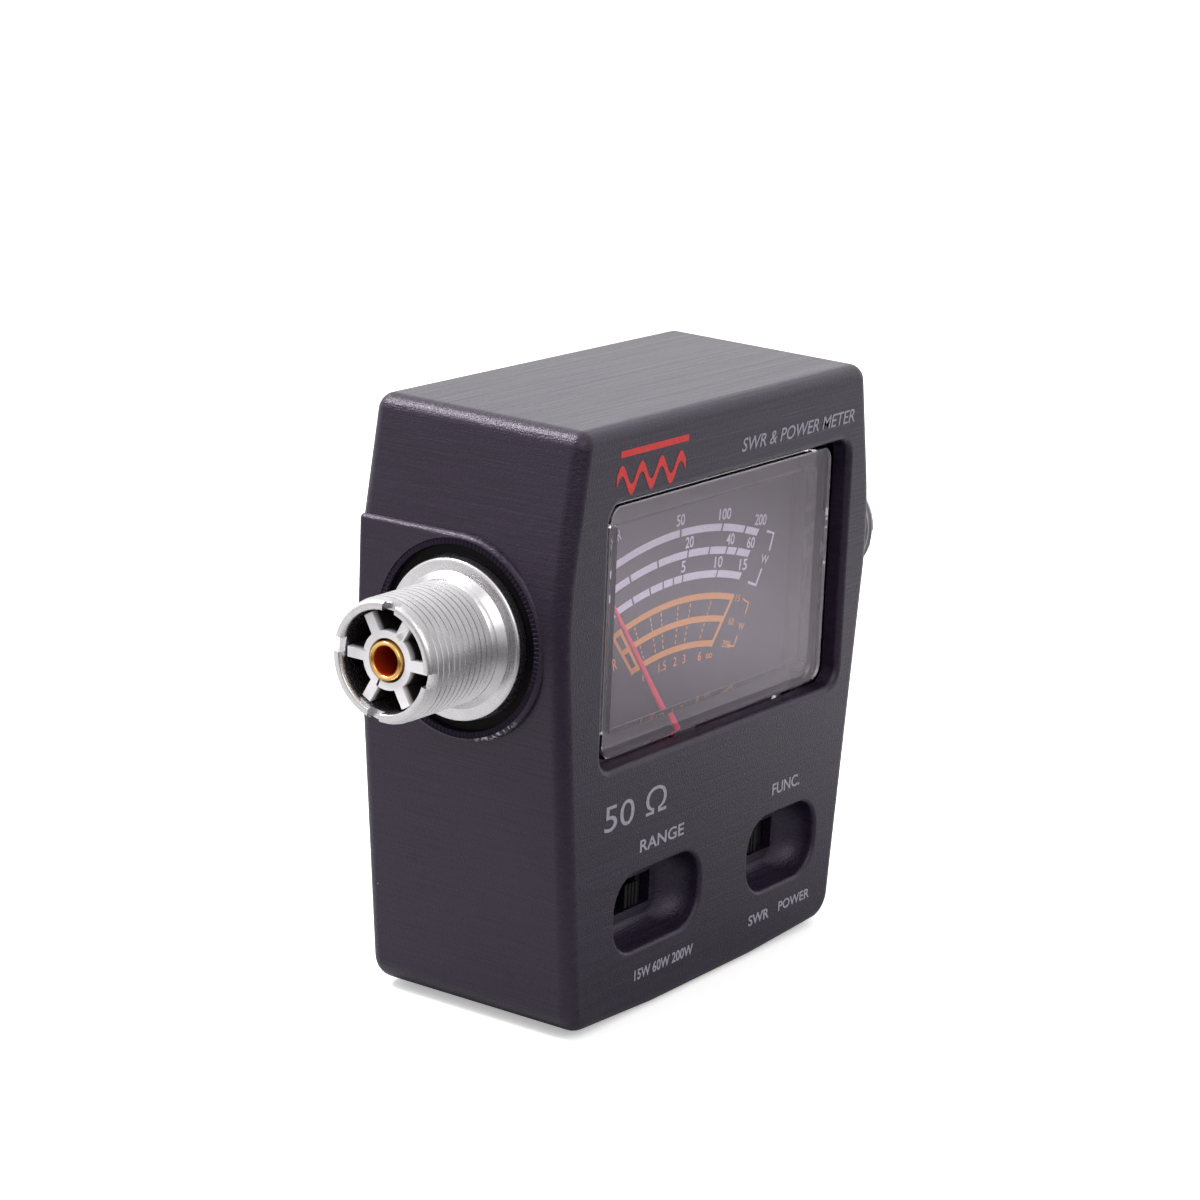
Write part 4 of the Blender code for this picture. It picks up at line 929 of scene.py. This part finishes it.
def make_dial():
    w = SCALE_END
    white = []
    for radius, end, gaps in WHITE_SCALES:
        white.append((radius, 1.0, -w, pivot_angle(radius, end), [pivot_angle(radius, a) for a in gaps]))
    arcs("scale_white", white, WHITE_INK)
    arcs("scale_orange", [(radius, 0.85, -w, w + more, []) for radius, more in ORANGE_SCALES], ORANGE_INK)
    lines = [[on_arc(50.5, a), on_arc(43.2, a)] for a in (-w - 0.5, w + 0.6)]
    lines.append([on_arc(50.1, -w + 3.6), on_arc(43.6, -w + 4.6)])
    strip("scale_ends", lines, DIAL_Y - 0.012, 0.5, ORANGE_INK)
    ticks = []
    for about in (-9.6, -5.9, -3.4, 0.6, 3.6, 8.7):
        a = pivot_angle(46.0, about)
        for high, low in TICK_ROWS:
            ticks.append([on_arc(high, a), on_arc(low, a)])
    strip("scale_ticks", ticks, DIAL_PRINT_Y, 0.22, ORANGE_INK)
    bracket = [[(21.7, 56.8), (23.5, 56.2), (22.6, 53.9)], [(20.9, 51.7), (19.6, 49.6), (17.6, 50.4)]]
    strip("bracket_white", bracket, DIAL_PRINT_Y, 0.4, WHITE_INK)
    small = [[(16.6, 48.2), (18.0, 47.4), (17.3, 46.0)], [(15.6, 43.2), (14.8, 41.9), (13.4, 42.3)]]
    strip("bracket_orange", small, DIAL_PRINT_Y, 0.3, ORANGE_INK)
    parts = []
    for words, about, radius in WHITE_FIGURES:
        parts.append(scale_figure(words, about, radius, 1.55, WHITE_INK, width=0.95 * len(words), bold=0.01))
    parts.append(text("label", "W", (21.5, 52.9), 1.2, WHITE_INK, tilt=-20))
    parts.append(text("label", "POWER", (-15.6, 61.9), 1.6, WHITE_INK, width=5.2, tilt=15))
    merge("labels_white", parts)
    parts = []
    for words, about in SWR_FIGURES:
        parts.append(scale_figure(words, about, 41.9, 1.25 if words != "∞" else 0.7, ORANGE_INK))
    for words, where in RANGE_FIGURES:
        parts.append(text("label", words, where, 1.0, ORANGE_INK, tilt=-18))
    parts.append(text("label", "SWR", (-14.4, 44.9), 1.7, ORANGE_INK, width=3.2, tilt=15))
    merge("labels_orange", parts)


# (distance from the pivot, half width)
NEEDLE_WIDTHS = (
    (-4.9, 0.5), (-0.5, 0.55), (0.5, 0.55), (12.0, 0.42), (24.0, 0.33), (28.3, 0.26), (28.8, 0.12),
)


def make_needle():
    """Tapered needle with a rounded front, on a hub with a short tail."""
    pivot = (0, 0, PIVOT_Z)
    spin = Matrix.Translation((0, 0, PIVOT_Z * MM)) @ Matrix.Rotation(REST_ANGLE, 4, "Y")
    shape = bmesh.new()
    rows = []
    for z, half in NEEDLE_WIDTHS:
        points = []
        for step in range(6):
            t = math.pi * step / 5
            points.append((half * math.cos(t), NEEDLE_Y - 0.1 - 0.16 * math.sin(t)))
        points += [(-half, NEEDLE_Y + 0.1), (half, NEEDLE_Y + 0.1)]
        rows.append([shape.verts.new(spin @ Vector((x * MM, y * MM, z * MM))) for x, y in points])
    for a, b in zip(rows, rows[1:]):
        for i in range(8):
            j = (i + 1) % 8
            shape.faces.new((a[i], a[j], b[j], b[i]))
    shape.faces.new(rows[0])
    shape.faces.new(rows[-1])
    needle = shape_to_object("needle_arm", shape)
    profile = [(NEEDLE_BORE, NEEDLE_Y - 0.25), (1.55, NEEDLE_Y - 0.25), (1.7, NEEDLE_Y - 0.12)]
    profile += [(1.7, NEEDLE_Y + 0.25), (NEEDLE_BORE, NEEDLE_Y + 0.25)]
    boolean(needle, lathe("hub", "+Y", pivot, profile, 48), "UNION")
    boolean(needle, disc("+Y", pivot, NEEDLE_BORE, NEEDLE_Y - 1, NEEDLE_Y + 1, 32))
    settle(needle, 35)
    finish(needle, "needle", NEEDLE_RED, "needle_red", "pointer")


def make_dial_plate():
    """Plate with both sides bent forward, a notch for the pivot and two screw holes."""
    outline = rounded_rectangle(WINDOW["x"], DIAL_Z, DIAL_HALF, DIAL_HALF_Z, 1.0)
    plate = loft("dial_sheet", [(DIAL_Y, outline), (DIAL_Y + DIAL_THICK, outline)])
    for sign in (-1, 1):
        edge = WINDOW["x"] + sign * DIAL_HALF
        near, far = sorted((edge, edge - sign * DIAL_THICK))
        side = box("side", (near, DIAL_SIDE_FRONT, DIAL_SIDE_LOW), (far, DIAL_Y + 0.3, DIAL_SIDE_HIGH))
        boolean(plate, side, "UNION")
    boolean(plate, box("notch", (-1.2, -10.0, 28.0), (1.2, -6.0, PIVOT_Z + 1.2)))
    for sign in (-1, 1):
        boolean(plate, disc("+Y", (WINDOW["x"] + sign * 24.9, 0, 31.6), 0.9, -10, -6, 24))
    bevel(plate, 0.08, 2)
    settle(plate)
    finish(plate, "case", DIAL, "dial_paint", "dial_plate")


make_cover()
make_dial_plate()
make_dial()
make_needle()


# ---- switches

GROOVES, GROOVE_HALF, GROOVE_BOTTOM = (-0.75, 0.0, 0.75), 0.15, -11.85


def make_knob(name, body, node):
    """Slide knob: a block with three grooves down its front."""
    low, high = box_mm(node)
    knob = box(name, low, high)
    middle_x = centre_mm(node, 0)
    for x in GROOVES:
        near = (middle_x + x - GROOVE_HALF, -12.6, RECESS_Z - 2.0)
        far = (middle_x + x + GROOVE_HALF, GROOVE_BOTTOM, RECESS_Z + 2.0)
        boolean(knob, box("groove", near, far))
    bevel(knob, 0.12, 3)
    settle(knob)
    finish(knob, body, KNOB, "black_plastic", node)


make_knob("range_slider", "range_knob", "range_switch_knob")
make_knob("function_slider", "function_knob", "function_switch_knob")


# ---- print on the front

PRINT_Y = CASE_FRONT - 0.005
WAVE_LEFT, WAVE_LONG, WAVE_Z, WAVE_HIGH, WAVE_THICK = -25.9, 15.0, 72.6, 1.3, 1.35
WAVE_COUNT, WAVE_STEPS = 3.5, 98


def front_text(name, words, x0, x1, z0, z1, **more):
    """Grey print that fills the given rectangle on the case's front."""
    centre = ((x0 + x1) / 2, (z0 + z1) / 2)
    text(name, words, centre, z1 - z0, GREY_INK, y=PRINT_Y, width=x1 - x0, **more)


front_text("title_print", "SWR & POWER METER", 2.1, 29.8, 72.1, 73.9, shear=0.22, bold=0.007)
front_text("ohm_print", "50 Ω", -25.5, -11.7, 27.0, 30.7)
front_text("range_print", "RANGE", -17.3, -7.3, 22.4, 24.1, bold=0.018)
front_text("func_print", "FUNC.", 14.0, 20.9, 22.5, 24.2, bold=0.018)
front_text("watts_print", "15W 60W 200W", -17.3, -3.8, 4.8, 6.3, bold=0.018)
front_text("swr_print", "SWR", 9.7, 14.8, 4.8, 6.3, bold=0.018)
front_text("power_print", "POWER", 17.2, 25.1, 5.0, 6.4, bold=0.018)


def make_wave_mark():
    """A plain red wave under a bar, as a generic radio mark."""
    shape = bmesh.new()
    sides = []
    for step in range(WAVE_STEPS + 1):
        x = WAVE_LEFT + WAVE_LONG * step / WAVE_STEPS
        z = WAVE_Z + WAVE_HIGH * math.sin(2 * math.pi * WAVE_COUNT * step / WAVE_STEPS)
        sides.append(((x, z + WAVE_THICK / 2), (x, z - WAVE_THICK / 2)))
    add_band(shape, sides, PRINT_Y)
    finish(shape_to_object("wave_print", shape), "case", RED_INK)
    strip("bar_print", [[(-25.2, 76.0), (-10.4, 76.0)]], PRINT_Y, 0.85, RED_INK)


make_wave_mark()


# ---- CAD nodes that show as they are

KEPT = {
    STEEL: ["rear_cover_screw_1", "rear_cover_screw_2", "rear_cover_screw_3", "rear_cover_screw_4",
            "left_ground_washer", "right_ground_washer", "dial_screw_left", "dial_screw_right",
            "magnet_yoke", "movement_screw_left", "movement_screw_right", "front_pivot", "rear_pivot",
            "coupler_channel", "board_screw_1", "board_screw_2"],
    NICKEL: ["left_connector_nut", "right_connector_nut"],
    BRASS_METAL: ["line_conductor", "counterweight", "front_hairspring", "rear_hairspring"],
    ALUMINIUM: ["front_bridge", "rear_bridge"],
    BLACK: ["meter_base", "range_switch_body", "function_switch_body"],
    MAGNET: ["core_magnet"],
    COPPER: ["moving_coil"],
    JEWEL: ["front_jewel", "rear_jewel"],
    BOARD: ["circuit_board", "pickup_board"],
    CERAMIC: ["detector_diode_left", "detector_diode_right", "termination_resistor_left",
              "termination_resistor_right", "trimmer_1", "trimmer_2", "trimmer_3", "trimmer_4"],
    WIRE_SKIN: ["forward_wire", "reflected_wire", "meter_lead_negative", "meter_lead_positive"],
}
for material, names in KEPT.items():
    for name in names:
        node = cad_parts[name]
        node.data.materials.clear()
        node.data.materials.append(material)


# ---- floor, light and camera

# Grey levels of the surroundings in reflections, and the floor's painted light and shade in reflections; the
# camera itself sees white
WORLD_DIM, WORLD_BRIGHT, WORLD_TOWARDS = 0.55, 1.5, (0.79, 0.55, 0.2)
FLOOR_LEVEL, FLOOR_PAINTED_RISE, FLOOR_PAINTED_SHADE = 0.43, 0.40, 0.12
LIGHT_AIM = (0, 0, 0.05)
CAMERA_DEGREES, CAMERA_LENS = (-54.923, 14.832, 2.315), 102.16
CAMERA_PLACE = (-360.46, -249.55, 165.65)


def make_floor():
    """White paper to the camera, with a painted glow that lightens its shadow; in reflections it is grey,
    with a painted brighter band along X and painted shade towards the camera's side.
    """
    shape = bmesh.new()
    bmesh.ops.create_grid(shape, x_segments=2, y_segments=2, size=3.0)
    floor = shape_to_object("floor", shape)
    n = Nodes("floor_paper_and_painted_light")
    seen = n.add("ShaderNodeLightPath").outputs["Is Camera Ray"]
    x, y, _ = n.split()
    ahead = n.plus(n.times(x, -0.55), n.times(y, -0.83))
    # painted light: in reflections the floor is brighter between x = 0.09 and 0.25 m
    rise = n.times(n.ramp(x, 0.09, 0.15, 0.0, FLOOR_PAINTED_RISE), n.ramp(x, 0.17, 0.25, 1.0, 0.35))
    level = n.plus(FLOOR_LEVEL, rise)
    # painted shade: in reflections the floor is darker towards the camera's side
    level = n.times(level, n.ramp(ahead, 0.04, 0.15, 1.0, FLOOR_PAINTED_SHADE))
    tone = n.add("ShaderNodeCombineColor", Red=level, Green=level, Blue=level).outputs[0]
    n.set(Base_Color=n.mix(seen, tone, (0.98, 0.98, 0.985)), Roughness=0.7)
    # painted light: the floor glows for camera rays, which lightens its shadow
    n.set(Emission_Color=(1.0, 1.0, 1.0), Emission_Strength=n.times(seen, 0.35))
    floor.data.materials.append(n.material)


def make_area(name, where, size, power):
    """A square soft box that points at the middle of the object."""
    light = bpy.data.lights.new(name, "AREA")
    light.shape = "RECTANGLE"
    light.size, light.size_y = size, size
    light.energy = power
    obj = bpy.data.objects.new(name, light)
    bpy.context.scene.collection.objects.link(obj)
    obj.location = where
    obj.visible_camera = False
    obj.rotation_euler = (Vector(LIGHT_AIM) - Vector(where)).to_track_quat("-Z", "Y").to_euler()


def make_light():
    """Soft white surroundings, brighter behind the object than behind the camera, and two soft boxes."""
    world = bpy.data.worlds.new("studio")
    bpy.context.scene.world = world
    world.use_nodes = True
    tree = world.node_tree
    background = tree.nodes["Background"]
    background.inputs["Strength"].default_value = 1.0
    direction = tree.nodes.new("ShaderNodeTexCoord").outputs["Generated"]
    along = tree.nodes.new("ShaderNodeVectorMath")
    along.operation = "DOT_PRODUCT"
    along.inputs[1].default_value = WORLD_TOWARDS
    tree.links.new(direction, along.inputs[0])
    level = tree.nodes.new("ShaderNodeMapRange")
    limits = {"From Min": -1.0, "From Max": 1.0, "To Min": WORLD_DIM, "To Max": WORLD_BRIGHT}
    for key, number in limits.items():
        level.inputs[key].default_value = number
    tree.links.new(along.outputs["Value"], level.inputs["Value"])
    seen = tree.nodes.new("ShaderNodeLightPath").outputs["Is Camera Ray"]
    shown = tree.nodes.new("ShaderNodeMath")
    shown.operation = "MAXIMUM"
    tree.links.new(seen, shown.inputs[0])
    tree.links.new(level.outputs["Result"], shown.inputs[1])
    tree.links.new(shown.outputs[0], background.inputs["Color"])
    make_area("behind_left", (-0.23, 0.47, 0.72), 0.26, 7.0)
    make_area("fill", (-0.45, -0.65, 0.70), 0.7, 2.4)


def make_camera():
    azimuth, elevation, roll = (math.radians(a) for a in CAMERA_DEGREES)
    level = math.cos(elevation)
    forward = Vector((-math.sin(azimuth) * level, math.cos(azimuth) * level, -math.sin(elevation)))
    right = Vector((math.cos(azimuth), math.sin(azimuth), 0.0))
    up = right.cross(forward)
    across = right * math.cos(roll) + up * math.sin(roll)
    over = -right * math.sin(roll) + up * math.cos(roll)
    data = bpy.data.cameras.new("camera")
    data.sensor_width = 36.0
    data.lens = CAMERA_LENS
    data.clip_start = 0.01
    camera = bpy.data.objects.new("camera", data)
    bpy.context.scene.collection.objects.link(camera)
    place = Matrix((across, over, -forward)).transposed().to_4x4()
    place.translation = Vector(CAMERA_PLACE) * MM
    camera.matrix_world = place
    bpy.context.scene.camera = camera


make_floor()
make_light()
make_camera()
bpy.context.scene.view_settings.view_transform = "Standard"
